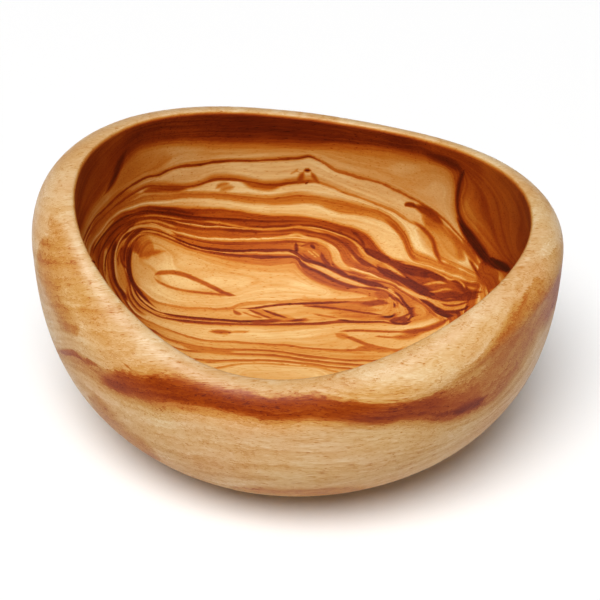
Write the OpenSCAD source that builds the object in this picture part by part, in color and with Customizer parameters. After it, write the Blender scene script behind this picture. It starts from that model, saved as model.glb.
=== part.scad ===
// Olive dish: a small, thick-walled bowl turned and carved from one block of olive wood.
// Its rim rises to the sides and dips at the front, and its plan is a little oval, because
// the maker follows the block. The foot is flat, and its centre is the origin. +X is to the
// right and the low side of the rim faces -Y. Angles run anticlockwise from +X, as seen from
// above. All lengths are in millimetres.

/* [Plan] */
// Mean width across the widest part of the wall
body_w = 114; // [100:0.5:130]
// How far the outline swells past the mean circle along its long axis, and draws in across it
plan_wave = 4.1; // [0:0.1:6]
// Direction of the plan's long axis, in degrees
plan_turn = -21; // [-90:1:90]

/* [Rim] */
// Mean height of the rim's crest above the table
crest_h = 52.5; // [46:0.5:64]
// How far the crest rises above the mean at the two high sides, and dips between them
rim_wave = 5.9; // [0:0.1:8]
// Direction of the high sides, in degrees
rim_turn = -16; // [-90:1:90]
// How far the back of the rim stands above the mean, and the front below it
rim_tilt = 6.1; // [0:0.1:8]
// Height of the carver's uneven wave that goes three times round the rim
rim_uneven = 0.9; // [0:0.1:2]
// Direction of one crest of the uneven wave, in degrees
uneven_turn = 75; // [-90:1:90]
// Radius of the worn inner edge of the rim
edge_r = 1.2; // [0.6:0.1:2.5]

/* [Shoulder] */
// Mean distance from the widest outline in to the crest
shoulder_w = 8.4; // [6:0.1:12]
// How much narrower the shoulder is at the right than the mean, and wider at the left
shoulder_side = 1.6; // [0:0.1:3]
// How much wider the shoulder is along shoulder_turn than the mean, and narrower across it
shoulder_wave = 0.8; // [0:0.1:2]
// Direction in which the shoulder is wider, in degrees
shoulder_turn = -57; // [-90:1:90]
// Mean drop from the crest to the widest level of the wall
shoulder_drop = 9.5; // [7:0.1:14]
// How much deeper that drop is at the back than the mean, and shallower at the front
drop_tilt = 1.8; // [0:0.1:3]
// How much shallower that drop is at the right than the mean, and deeper at the left
drop_side = 2; // [0:0.1:3]
// How much shallower that drop is below the high sides than the mean, and deeper between them
drop_wave = 0.9; // [0:0.1:2]

/* [Lower wall and foot] */
// Width of the flat foot
foot_w = 56; // [44:0.5:70]
// Height of the crisp edge that sanding the foot flat leaves round it
foot_edge = 0.3; // [0.2:0.1:1]
// Fullness of the lower wall in section: 2 is an ellipse, and more is squarer
lower_fullness = 2.73; // [2.2:0.01:3.2]

/* [Hollow] */
// Thickness of the wood under the middle of the hollow
floor_t = 9.5; // [7:0.5:14]
// How far the hollow swells past the rim's inner edge
hollow_swell = 1; // [0:0.1:2]
// Fullness of the hollow in section: 2 is an ellipse, and more is squarer
hollow_fullness = 2.5; // [2:0.01:3]

/* [Fineness] */
// Number of sections round the bowl
sections = 84; // [48:2:96]

/* [Hidden] */
// Level where the hollow is widest, as a share of its depth below the inner edge
hollow_widest_share = 0.35;
// How far the block reaches below the table before its foot is sanded flat
foot_cut = 1;
// Points along each stretch of a section
lower_points = 16;
shoulder_points = 10;
edge_points = 4;
wall_points = 5;
hollow_points = 14;
// Freshly oiled olive wood
olive_wood = "#d9a870";

// A wave that goes `count` times round the bowl, with one crest of height `size` at `turn`
function wave(size, turn, at, count = 2) = size * cos(count * (at - turn));

// A quantity that is larger by `size` at the back than at the middle, and smaller at the front
function tilt(size, at) = size * sin(at);

// A quantity that is larger by `size` at the left than at the middle, and smaller at the right
function lean(size, at) = -size * cos(at);

// Radius of the widest outline
function widest_r(at) = body_w / 2 + wave(plan_wave, plan_turn, at);

// Height of the rim's crest
function crest_z(at) = crest_h + wave(rim_wave, rim_turn, at) + tilt(rim_tilt, at)
                       + wave(rim_uneven, uneven_turn, at, 3);

// Radius of the rim's crest
function crest_r(at) = widest_r(at) - shoulder_w - lean(shoulder_side, at)
                       - wave(shoulder_wave, shoulder_turn, at);

// Height at which the wall is widest
function widest_z(at) = crest_z(at) - shoulder_drop - tilt(drop_tilt, at)
                        - lean(drop_side, at) + wave(drop_wave, rim_turn, at);

// A point on a superellipse whose centre is [0, top] and which reaches `wide` out and `deep` down,
// where `turn` runs from 0 at its lowest point to 90 at its widest
function full_curve(wide, deep, top, fullness, turn) =
    [wide * pow(sin(turn), 2 / fullness), top - deep * pow(cos(turn), 2 / fullness)];

// Lower wall, from the foot's edge up to the widest level, below a short skirt that is cut away
// when the foot is sanded flat
function lower_wall(at) =
    let (wide = widest_r(at), top = widest_z(at), foot_share = foot_w / 2 / wide,
         deep = (top - foot_edge) / pow(1 - pow(foot_share, lower_fullness), 1 / lower_fullness),
         start = asin(pow(foot_share, lower_fullness / 2)))
    concat([[foot_w / 2, -foot_cut]],
           [for (i = [0 : lower_points - 1])
               full_curve(wide, deep, top, lower_fullness,
                          start + (90 - start) * i / lower_points)]);

// Shoulder, a quarter of an ellipse from the widest level up and in to the crest
function shoulder(at) =
    let (inside = crest_r(at), out = widest_r(at) - inside,
         foot = widest_z(at), rise = crest_z(at) - foot)
    [for (i = [0 : shoulder_points - 1])
        let (turn = 90 * i / shoulder_points)
        [inside + out * cos(turn), foot + rise * sin(turn)]];

// Inner edge, a quarter round from the crest to the top of the hollow
function inner_edge(at) =
    let (across = crest_r(at), below = crest_z(at) - edge_r)
    [for (i = [0 : edge_points - 1])
        let (turn = 90 * i / edge_points)
        [across - edge_r * sin(turn), below + edge_r * cos(turn)]];

// Radius of the hollow at its top, height of its top, and height at which it is widest
function mouth_r(at) = crest_r(at) - edge_r;
function mouth_z(at) = crest_z(at) - edge_r;
function hollow_z(at) = mouth_z(at) - hollow_widest_share * (mouth_z(at) - floor_t);

// Upper wall of the hollow, which swells a little from its mouth down to its widest level
function hollow_wall(at) =
    let (drop = mouth_z(at) - hollow_z(at))
    [for (i = [0 : wall_points - 1])
        let (down = i / wall_points)
        [mouth_r(at) + hollow_swell * (1 - pow(1 - down, 2)), mouth_z(at) - drop * down]];

// Lower part of the hollow, from its widest level to a ring close to the middle of the floor
function hollow_floor(at) =
    let (top = hollow_z(at))
    [for (i = [0 : hollow_points - 1])
        full_curve(mouth_r(at) + hollow_swell, top - floor_t, top, hollow_fullness,
                   90 - 90 * i / hollow_points)];

// The whole section at one angle, from the foot over the rim to the middle of the hollow
function section(at) = concat(lower_wall(at), shoulder(at), inner_edge(at), hollow_wall(at),
                              hollow_floor(at));

// The closed skin that joins the sections round the bowl
module turned_block() {
    outline = [for (k = [0 : sections - 1]) section(360 * k / sections)];
    rings = len(outline[0]);
    points = concat(
        [for (k = [0 : sections - 1]) let (at = 360 * k / sections)
            for (p = outline[k]) [p[0] * cos(at), p[0] * sin(at), p[1]]],
        [[0, 0, floor_t]]);
    middle = len(points) - 1;
    skin = [for (k = [0 : sections - 1]) let (near = k * rings, far = (k + 1) % sections * rings)
        for (i = [0 : rings - 2])
            each [[near + i, near + i + 1, far + i], [near + i + 1, far + i + 1, far + i]]];
    floor_fan = [for (k = [0 : sections - 1])
        [k * rings + rings - 1, middle, (k + 1) % sections * rings + rings - 1]];
    underside = [[for (k = [0 : sections - 1]) k * rings]];
    polyhedron(points, concat(skin, floor_fan, underside), convexity = 6);
}

// The bowl, with its foot sanded flat on the table's plane
module bowl() {
    color(olive_wood) difference() {
        turned_block();
        translate([-body_w, -body_w, -body_w]) cube([2 * body_w, 2 * body_w, body_w]);
    }
}

bowl();
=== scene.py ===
"""Dresses the olive dish: one thick-walled bowl carved from a single block of olive wood.

A Geometry Nodes tree builds the bowl's skin from its own sizes, stretch by stretch along the
section and all the way round, and the result becomes a plain mesh. The figure of the wood is
then laid over it as growth layers: lines read from the photograph are cast onto the surface,
and a smooth field that runs through them numbers the layers everywhere, also where no camera
looks. The material turns those numbers into dark late wood, red-brown bands and blond early
wood, and adds fibre, pores and an oiled sheen.
"""

import logging
import math
from dataclasses import dataclass, fields
from enum import Enum

import bpy
import numpy as np
from bpy.types import Material, NodeSocket, NodeTree
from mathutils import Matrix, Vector


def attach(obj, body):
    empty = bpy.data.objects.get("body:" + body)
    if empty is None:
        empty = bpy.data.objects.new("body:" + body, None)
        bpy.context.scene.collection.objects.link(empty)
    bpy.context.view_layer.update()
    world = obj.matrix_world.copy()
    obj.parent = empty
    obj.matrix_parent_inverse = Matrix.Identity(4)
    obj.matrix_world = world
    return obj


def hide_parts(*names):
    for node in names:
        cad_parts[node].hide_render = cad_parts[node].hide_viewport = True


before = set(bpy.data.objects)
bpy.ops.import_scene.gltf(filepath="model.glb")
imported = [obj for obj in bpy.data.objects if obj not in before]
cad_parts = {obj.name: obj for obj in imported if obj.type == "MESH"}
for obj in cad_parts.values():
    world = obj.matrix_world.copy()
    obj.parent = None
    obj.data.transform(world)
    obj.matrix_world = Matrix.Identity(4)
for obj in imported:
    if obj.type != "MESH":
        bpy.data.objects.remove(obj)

LOG = logging.getLogger("olive_dish")
# Pairs of numbers, such as the points of a path or the stops of a ramp
Pairs = tuple[tuple[float, float], ...]
MM = 0.001


def to_linear(colour: str) -> tuple[float, float, float, float]:
    """Turns an sRGB hex colour into the linear colour that Blender's sockets take.

    Args:
        colour: the colour as "#rrggbb".

    Returns:
        Linear red, green, blue and an alpha of 1.
    """
    parts = [int(colour[i:i + 2], 16) / 255 for i in (1, 3, 5)]
    linear = [c / 12.92 if c <= 0.04045 else ((c + 0.055) / 1.055) ** 2.4 for c in parts]
    return (*linear, 1.0)


def add_node(tree: NodeTree, kind: str, inputs: dict | None = None,
             **settings: object) -> bpy.types.Node:
    """Adds one node with its settings and links.

    Args:
        tree: the tree that gets the node.
        kind: the node's Blender type.
        inputs: what goes into each input, by the input's index or name: a socket to link
            from, or a plain value.
        settings: the node's own properties.

    Returns:
        The new node.
    """
    node = tree.nodes.new(kind)
    for name, value in settings.items():
        setattr(node, name, value)
    for key, value in (inputs or {}).items():
        if isinstance(value, NodeSocket):
            tree.links.new(value, node.inputs[key])
        else:
            node.inputs[key].default_value = value
    return node


def work_out(tree: NodeTree, known: dict, sums: tuple) -> None:
    """Adds a Math node for each sum, and keeps its result under the sum's name.

    Args:
        tree: the tree that gets the nodes.
        known: the sockets known so far, by name. The results join them.
        sums: one tuple a sum: its name, the operation, and names or plain numbers.
    """
    for name, operation, *terms in sums:
        inputs = {i: known[t] if isinstance(t, str) else t for i, t in enumerate(terms)}
        known[name] = add_node(tree, "ShaderNodeMath", inputs, operation=operation).outputs[0]


class Stretch(Enum):
    """The stretches of the bowl's section, in order from the middle of the foot, over the rim,
    to the middle of the hollow. The value is the stretch's number along the section."""

    FOOT = 0
    FOOT_EDGE = 1
    LOWER_WALL = 2
    SHOULDER = 3
    INNER_EDGE = 4
    HOLLOW_WALL = 5
    HOLLOW_FLOOR = 6


@dataclass
class BowlShell:
    """The bowl's skin. Its sizes are those of the part itself, in millimetres and degrees."""

    body_w: float = 114.0
    plan_wave: float = 4.1
    plan_turn: float = -21.0
    crest_h: float = 52.5
    rim_wave: float = 5.9
    rim_turn: float = -16.0
    rim_tilt: float = 6.1
    rim_uneven: float = 0.9
    uneven_turn: float = 75.0
    edge_r: float = 1.2
    shoulder_w: float = 8.4
    shoulder_side: float = 1.6
    shoulder_wave: float = 0.8
    shoulder_turn: float = -57.0
    shoulder_drop: float = 9.5
    drop_tilt: float = 1.8
    drop_side: float = 2.0
    drop_wave: float = 0.9
    foot_w: float = 56.0
    foot_edge: float = 0.3
    foot_bevel: float = 0.9
    floor_t: float = 9.5
    hollow_swell: float = 1.0
    sanding_depth: float = 0.22
    sanding_spread: float = 17.0
    sanding_start: float = 1.0
    sanding_fade: float = 4.0
    lower_fullness: float = 2.73
    hollow_fullness: float = 2.5
    hollow_widest_share: float = 0.35

    DEGREES = ("plan_turn", "rim_turn", "uneven_turn", "shoulder_turn")
    PLAIN = ("lower_fullness", "hollow_fullness", "hollow_widest_share")
    SECTIONS = 400
    WELD = 0.004
    ROWS = {Stretch.FOOT: 4, Stretch.FOOT_EDGE: 2, Stretch.LOWER_WALL: 36, Stretch.SHOULDER: 16,
            Stretch.INNER_EDGE: 5, Stretch.HOLLOW_WALL: 34, Stretch.HOLLOW_FLOOR: 145}
    # Each wave that goes round the bowl: its name, size, direction and number of crests
    WAVES = (("plan", "plan_wave", "plan_turn", 2), ("rise", "rim_wave", "rim_turn", 2),
             ("uneven", "rim_uneven", "uneven_turn", 3),
             ("broad", "shoulder_wave", "shoulder_turn", 2),
             ("drop", "drop_wave", "rim_turn", 2))
    # The sums that give what the bowl measures at each angle
    ROUND = (
        ("sine", "SINE", "at"), ("cosine", "COSINE", "at"),
        ("half_w", "MULTIPLY", "body_w", 0.5), ("widest_r", "ADD", "half_w", "plan"),
        ("tilted", "MULTIPLY", "rim_tilt", "sine"), ("risen", "ADD", "crest_h", "rise"),
        ("leaning", "ADD", "risen", "tilted"), ("crest_z", "ADD", "leaning", "uneven"),
        ("narrower", "MULTIPLY", "shoulder_side", "cosine"),
        ("broader", "ADD", "shoulder_w", "broad"), ("across", "SUBTRACT", "broader", "narrower"),
        ("crest_r", "SUBTRACT", "widest_r", "across"),
        ("drop_back", "MULTIPLY", "drop_tilt", "sine"),
        ("drop_right", "MULTIPLY", "drop_side", "cosine"),
        ("below_crest", "SUBTRACT", "crest_z", "shoulder_drop"),
        ("below_back", "SUBTRACT", "below_crest", "drop_back"),
        ("below_side", "ADD", "below_back", "drop_right"),
        ("widest_z", "ADD", "below_side", "drop"), ("out", "SUBTRACT", "widest_r", "crest_r"),
        ("rise_up", "SUBTRACT", "crest_z", "widest_z"), ("foot_r", "MULTIPLY", "foot_w", 0.5),
        ("foot_in", "SUBTRACT", "foot_r", "foot_bevel"),
        ("foot_share", "DIVIDE", "foot_r", "widest_r"),
        ("foot_power", "POWER", "foot_share", "lower_fullness"),
        ("left_over", "SUBTRACT", 1.0, "foot_power"),
        ("root", "DIVIDE", 1.0, "lower_fullness"), ("reach", "POWER", "left_over", "root"),
        ("wall_h", "SUBTRACT", "widest_z", "foot_edge"), ("wall_d", "DIVIDE", "wall_h", "reach"),
        ("foot_half", "MULTIPLY", "lower_fullness", 0.5),
        ("foot_sine", "POWER", "foot_share", "foot_half"),
        ("wall_start", "ARCSINE", "foot_sine"),
        ("wall_turns", "SUBTRACT", math.pi / 2, "wall_start"),
        ("mouth_r", "SUBTRACT", "crest_r", "edge_r"), ("mouth_z", "SUBTRACT", "crest_z", "edge_r"),
        ("hollow_d", "SUBTRACT", "mouth_z", "floor_t"),
        ("hollow_drop", "MULTIPLY", "hollow_d", "hollow_widest_share"),
        ("hollow_z", "SUBTRACT", "mouth_z", "hollow_drop"),
        ("hollow_r", "ADD", "mouth_r", "hollow_swell"),
        ("bowl_d", "SUBTRACT", "hollow_z", "floor_t"),
        ("quarter", "MULTIPLY", "along", math.pi / 2), ("quarter_sin", "SINE", "quarter"),
        ("quarter_cos", "COSINE", "quarter"))
    # The group that gives a wave's height at an angle round the bowl
    WAVE_ROUND = ("wave_round", ("Size", "Turn", "Count", "At"), {"Wave": "wave"}, (
        ("off", "SUBTRACT", "At", "Turn"), ("times", "MULTIPLY", "off", "Count"),
        ("swing", "COSINE", "times"), ("wave", "MULTIPLY", "swing", "Size")))
    # The group that gives a point on a superellipse
    FULL_CURVE = (
        "full_curve", ("Wide", "Deep", "Top", "Fullness", "Turn"),
        {"Radius": "radius", "Height": "height"}, (
            ("power", "DIVIDE", 2.0, "Fullness"), ("s", "SINE", "Turn"), ("c", "COSINE", "Turn"),
            ("s0", "MAXIMUM", "s", 0.0), ("c0", "MAXIMUM", "c", 0.0),
            ("sp", "POWER", "s0", "power"), ("cp", "POWER", "c0", "power"),
            ("radius", "MULTIPLY", "Wide", "sp"), ("down", "MULTIPLY", "Deep", "cp"),
            ("height", "SUBTRACT", "Top", "down")))
    # Radius and height of the stretches that are no superellipse, as the sums r and z
    SUMS = {
        Stretch.FOOT: (("r", "MULTIPLY", "foot_in", "along"), ("z", "MULTIPLY", 0.0, "along")),
        Stretch.FOOT_EDGE: (
            ("bevelled", "MULTIPLY", "foot_bevel", "along"), ("r", "ADD", "foot_in", "bevelled"),
            ("z", "MULTIPLY", "foot_edge", "along")),
        Stretch.SHOULDER: (
            ("outward", "MULTIPLY", "out", "quarter_cos"), ("r", "ADD", "crest_r", "outward"),
            ("upward", "MULTIPLY", "rise_up", "quarter_sin"),
            ("z", "ADD", "widest_z", "upward")),
        Stretch.INNER_EDGE: (
            ("inward", "MULTIPLY", "edge_r", "quarter_sin"),
            ("r", "SUBTRACT", "crest_r", "inward"),
            ("rounded", "MULTIPLY", "edge_r", "quarter_cos"), ("z", "ADD", "mouth_z", "rounded")),
        Stretch.HOLLOW_WALL: (
            ("back", "SUBTRACT", 1.0, "along"), ("squared", "POWER", "back", 2.0),
            ("swell", "SUBTRACT", 1.0, "squared"),
            ("swollen", "MULTIPLY", "hollow_swell", "swell"), ("r", "ADD", "mouth_r", "swollen"),
            ("sunk", "MULTIPLY", "hollow_drop", "along"), ("z", "SUBTRACT", "mouth_z", "sunk"))}

    @staticmethod
    def group(name: str, takes: tuple[str, ...], gives: dict[str, str], sums: tuple) -> NodeTree:
        """Builds a node group out of sums.

        Args:
            name: the group's name.
            takes: the names of its inputs.
            gives: its outputs, each with the name of the sum that it passes on.
            sums: the sums.

        Returns:
            The group.
        """
        group = bpy.data.node_groups.new(name, "GeometryNodeTree")
        for way, words in (("INPUT", takes), ("OUTPUT", gives)):
            for word in words:
                group.interface.new_socket(word, in_out=way, socket_type="NodeSocketFloat")
        given = add_node(group, "NodeGroupInput").outputs
        known = {word: given[word] for word in takes}
        work_out(group, known, sums)
        add_node(group, "NodeGroupOutput", {word: known[last] for word, last in gives.items()})
        return group

    def tree(self, wood: Material) -> NodeTree:
        """Builds the Geometry Nodes tree of the bowl.

        Args:
            wood: the material that the tree's last node sets.

        Returns:
            The tree, with one named input for each size.
        """
        tree = bpy.data.node_groups.new("turned_bowl", "GeometryNodeTree")
        for size in fields(self):
            tree.interface.new_socket(size.name, in_out="INPUT", socket_type="NodeSocketFloat")
        tree.interface.new_socket("Bowl", in_out="OUTPUT", socket_type="NodeSocketGeometry")
        given = add_node(tree, "NodeGroupInput").outputs
        known = {size.name: given[size.name] for size in fields(self)}
        place = add_node(tree, "ShaderNodeSeparateXYZ",
                         {0: add_node(tree, "GeometryNodeInputPosition").outputs[0]}).outputs
        known |= {"across_grid": place[0], "up_grid": place[1]}
        work_out(tree, known, (("share_round", "ADD", "across_grid", 0.5),
                               ("at", "MULTIPLY", "share_round", 2 * math.pi),
                               ("along", "ADD", "up_grid", 0.5)))
        waves = self.group(*self.WAVE_ROUND)
        for name, size, turn, count in self.WAVES:
            known[name] = add_node(
                tree, "GeometryNodeGroup",
                {"Size": known[size], "Turn": known[turn], "Count": count, "At": known["at"]},
                node_tree=waves).outputs[0]
        work_out(tree, known, self.ROUND)
        joined = add_node(tree, "GeometryNodeJoinGeometry")
        curves = self.group(*self.FULL_CURVE)
        for stretch in reversed(Stretch):
            radius, height = self.stretch_sums(tree, dict(known), stretch, curves)
            skin = self.skin(tree, known, stretch, radius, height)
            tree.links.new(skin, joined.inputs[0])
        merged = add_node(tree, "GeometryNodeMergeByDistance",
                          {"Geometry": joined.outputs[0],
                           "Distance": self.WELD * MM}).outputs[0]
        sanded = self.sand(tree, known, merged)
        smooth = add_node(tree, "GeometryNodeSetShadeSmooth", {0: sanded}).outputs[0]
        real = add_node(tree, "GeometryNodeRealizeInstances", {0: smooth}).outputs[0]
        dressed = add_node(tree, "GeometryNodeSetMaterial",
                           {"Geometry": real, "Material": wood}).outputs[0]
        add_node(tree, "NodeGroupOutput", {0: dressed})
        return tree

    def stretch_sums(self, tree: NodeTree, known: dict, stretch: Stretch,
                     curves: NodeTree) -> tuple[NodeSocket, NodeSocket]:
        """Works out a stretch's radius and height.

        Args:
            tree: the bowl's tree.
            known: the sockets known so far, by name.
            stretch: which stretch of the section.
            curves: the group that gives a point on a superellipse.

        Returns:
            The sockets of the radius and of the height.
        """
        if stretch in self.SUMS:
            work_out(tree, known, self.SUMS[stretch])
            return known["r"], known["z"]
        if stretch is Stretch.LOWER_WALL:
            work_out(tree, known, (("gone", "MULTIPLY", "wall_turns", "along"),
                                   ("turn", "ADD", "wall_start", "gone")))
            names = ("widest_r", "wall_d", "widest_z", "lower_fullness", "turn")
        else:
            work_out(tree, known, (("turn", "SUBTRACT", math.pi / 2, "quarter"),))
            names = ("hollow_r", "bowl_d", "hollow_z", "hollow_fullness", "turn")
        point = add_node(tree, "GeometryNodeGroup", {i: known[n] for i, n in enumerate(names)},
                         node_tree=curves).outputs
        return point[0], point[1]

    def skin(self, tree: NodeTree, known: dict, stretch: Stretch, radius: NodeSocket,
             height: NodeSocket) -> NodeSocket:
        """Bends a flat grid into one stretch of the skin, all the way round.

        Args:
            tree: the bowl's tree.
            known: the sockets known so far, by name.
            stretch: which stretch of the section.
            radius: the stretch's radius.
            height: the stretch's height.

        Returns:
            The socket of the stretch's mesh, whose points know their station along the section.
        """
        grid = add_node(tree, "GeometryNodeMeshGrid",
                        {"Size X": 1.0, "Size Y": 1.0, "Vertices X": self.SECTIONS + 1,
                         "Vertices Y": self.ROWS[stretch] + 1}).outputs[0]
        local = dict(known) | {"r": radius, "z": height}
        work_out(tree, local, (("x", "MULTIPLY", "r", "cosine"), ("y", "MULTIPLY", "r", "sine"),
                               ("station", "ADD", "along", float(stretch.value))))
        marked = add_node(tree, "GeometryNodeStoreNamedAttribute",
                          {"Geometry": grid, "Name": "station", "Value": local["station"]},
                          data_type="FLOAT", domain="POINT").outputs[0]
        place = add_node(tree, "ShaderNodeCombineXYZ",
                         {0: local["x"], 1: local["y"], 2: local["z"]}).outputs[0]
        return add_node(tree, "GeometryNodeSetPosition",
                        {"Geometry": marked, "Position": place}).outputs[0]

    @staticmethod
    def sand(tree: NodeTree, known: dict, skin: NodeSocket) -> NodeSocket:
        """Lowers the skin by the slight hollows that sanding by hand leaves.

        Args:
            tree: the bowl's tree.
            known: the sockets known so far, by name.
            skin: the closed skin.

        Returns:
            The socket of the sanded skin. Its foot is still flat.
        """
        place = add_node(tree, "GeometryNodeInputPosition").outputs[0]
        local = dict(known) | {"high": add_node(tree, "ShaderNodeSeparateXYZ",
                                                {0: place}).outputs[2]}
        work_out(tree, local, (("waves", "DIVIDE", 1.0, "sanding_spread"),))
        swells = add_node(tree, "ShaderNodeTexNoise",
                          {"Vector": place, "Scale": local["waves"], "Detail": 1.0,
                           "Roughness": 0.4}).outputs[0]
        local["swells"] = swells
        work_out(tree, local, (
            ("off_foot", "SUBTRACT", "high", "sanding_start"),
            ("lifted", "DIVIDE", "off_foot", "sanding_fade"),
            ("mask", "MINIMUM", "lifted", 1.0), ("held", "MAXIMUM", "mask", 0.0),
            ("deep", "MULTIPLY", "sanding_depth", "swells"), ("cut", "MULTIPLY", "deep", "held"),
            ("inward", "MULTIPLY", "cut", -1.0)))
        normal = add_node(tree, "GeometryNodeInputNormal").outputs[0]
        offset = add_node(tree, "ShaderNodeVectorMath", {0: normal, "Scale": local["inward"]},
                          operation="SCALE").outputs[0]
        return add_node(tree, "GeometryNodeSetPosition",
                        {"Geometry": skin, "Offset": offset}).outputs[0]

    def build(self, name: str, wood: Material) -> bpy.types.Object:
        """Runs the tree and turns its result into a plain mesh.

        Args:
            name: the piece's name.
            wood: the material of the piece.

        Returns:
            The bowl, in metres, with its object at the origin.
        """
        holder = bpy.data.objects.new("bowl_tree", bpy.data.meshes.new("bowl_tree"))
        bpy.context.scene.collection.objects.link(holder)
        tree = self.tree(wood)
        nodes = holder.modifiers.new("turned_bowl", "NODES")
        nodes.node_group = tree
        sockets = {item.name: item.identifier for item in tree.interface.items_tree}
        for size in fields(self):
            value = getattr(self, size.name)
            if size.name in self.DEGREES:
                value = math.radians(value)
            elif size.name not in self.PLAIN:
                value *= MM
            nodes[sockets[size.name]] = value
        depsgraph = bpy.context.evaluated_depsgraph_get()
        mesh = bpy.data.meshes.new_from_object(holder.evaluated_get(depsgraph),
                                               depsgraph=depsgraph)
        mesh.name = name
        bpy.data.objects.remove(holder)
        piece = bpy.data.objects.new(name, mesh)
        bpy.context.scene.collection.objects.link(piece)
        return piece


@dataclass
class ProductCamera:
    """The camera, at the photograph's place. It looks along +Y and down at the bowl."""

    elevation: float = 36.0
    distance: float = 400.0
    aim_height: float = 20.0
    aim_px: tuple[float, float] = (294.4, 333.1)
    px_per_mm: float = 4.205
    frame_px: float = 600.0
    sensor: float = 36.0
    clip: tuple[float, float] = (0.01, 20.0)

    def place(self) -> Vector:
        """Returns where the camera stands, in millimetres."""
        slope = math.radians(self.elevation)
        return Vector((0, -self.distance * math.cos(slope),
                       self.aim_height + self.distance * math.sin(slope)))

    def ray(self, px: float, py: float) -> Vector:
        """Gives the direction in which a pixel of the photograph is seen.

        Args:
            px: the pixel's column.
            py: the pixel's row.

        Returns:
            The direction from the camera, of length 1.
        """
        slope = math.radians(self.elevation)
        right = (px - self.aim_px[0]) / self.px_per_mm
        up = (self.aim_px[1] - py) / self.px_per_mm
        ahead = Vector((0, math.cos(slope), -math.sin(slope))) * self.distance
        above = Vector((0, math.sin(slope), math.cos(slope)))
        return (ahead + Vector((right, 0, 0)) + above * up).normalized()

    def build(self) -> None:
        """Makes the scene's camera."""
        data = bpy.data.cameras.new("product_camera")
        data.sensor_width = self.sensor
        data.lens = self.px_per_mm * self.distance * self.sensor / self.frame_px
        data.shift_x = 0.5 - self.aim_px[0] / self.frame_px
        data.shift_y = self.aim_px[1] / self.frame_px - 0.5
        data.clip_start, data.clip_end = self.clip
        camera = bpy.data.objects.new("product_camera", data)
        camera.location = self.place() * MM
        camera.rotation_euler = (math.radians(90 - self.elevation), 0, 0)
        bpy.context.scene.collection.objects.link(camera)
        bpy.context.scene.camera = camera


class View(Enum):
    """Where the points of a path are seen from."""

    PHOTO = "pixels of the photograph"
    MOUTH = "degrees round and degrees down, from the middle of the bowl's mouth"
    OUTSIDE = "degrees round and height in millimetres, from outside, square to the axis"


class Side(Enum):
    """The two sides of the bowl, each from its first to its last stretch."""

    HOLLOW = (Stretch.INNER_EDGE, Stretch.HOLLOW_FLOOR)
    OUTSIDE = (Stretch.LOWER_WALL, Stretch.SHOULDER)


@dataclass(frozen=True)
class GrowthLine:
    """One boundary between growth layers.

    The layer is its number from the middle of the hollow outwards. ink is how dark its thin
    line of late wood is, and wash how much of the layers' own tone shows beside it, both from
    0 to 1. path holds the line's points, in the units of its view.
    """

    layer: float
    ink: float
    wash: float
    path: Pairs
    view: View = View.PHOTO


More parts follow.
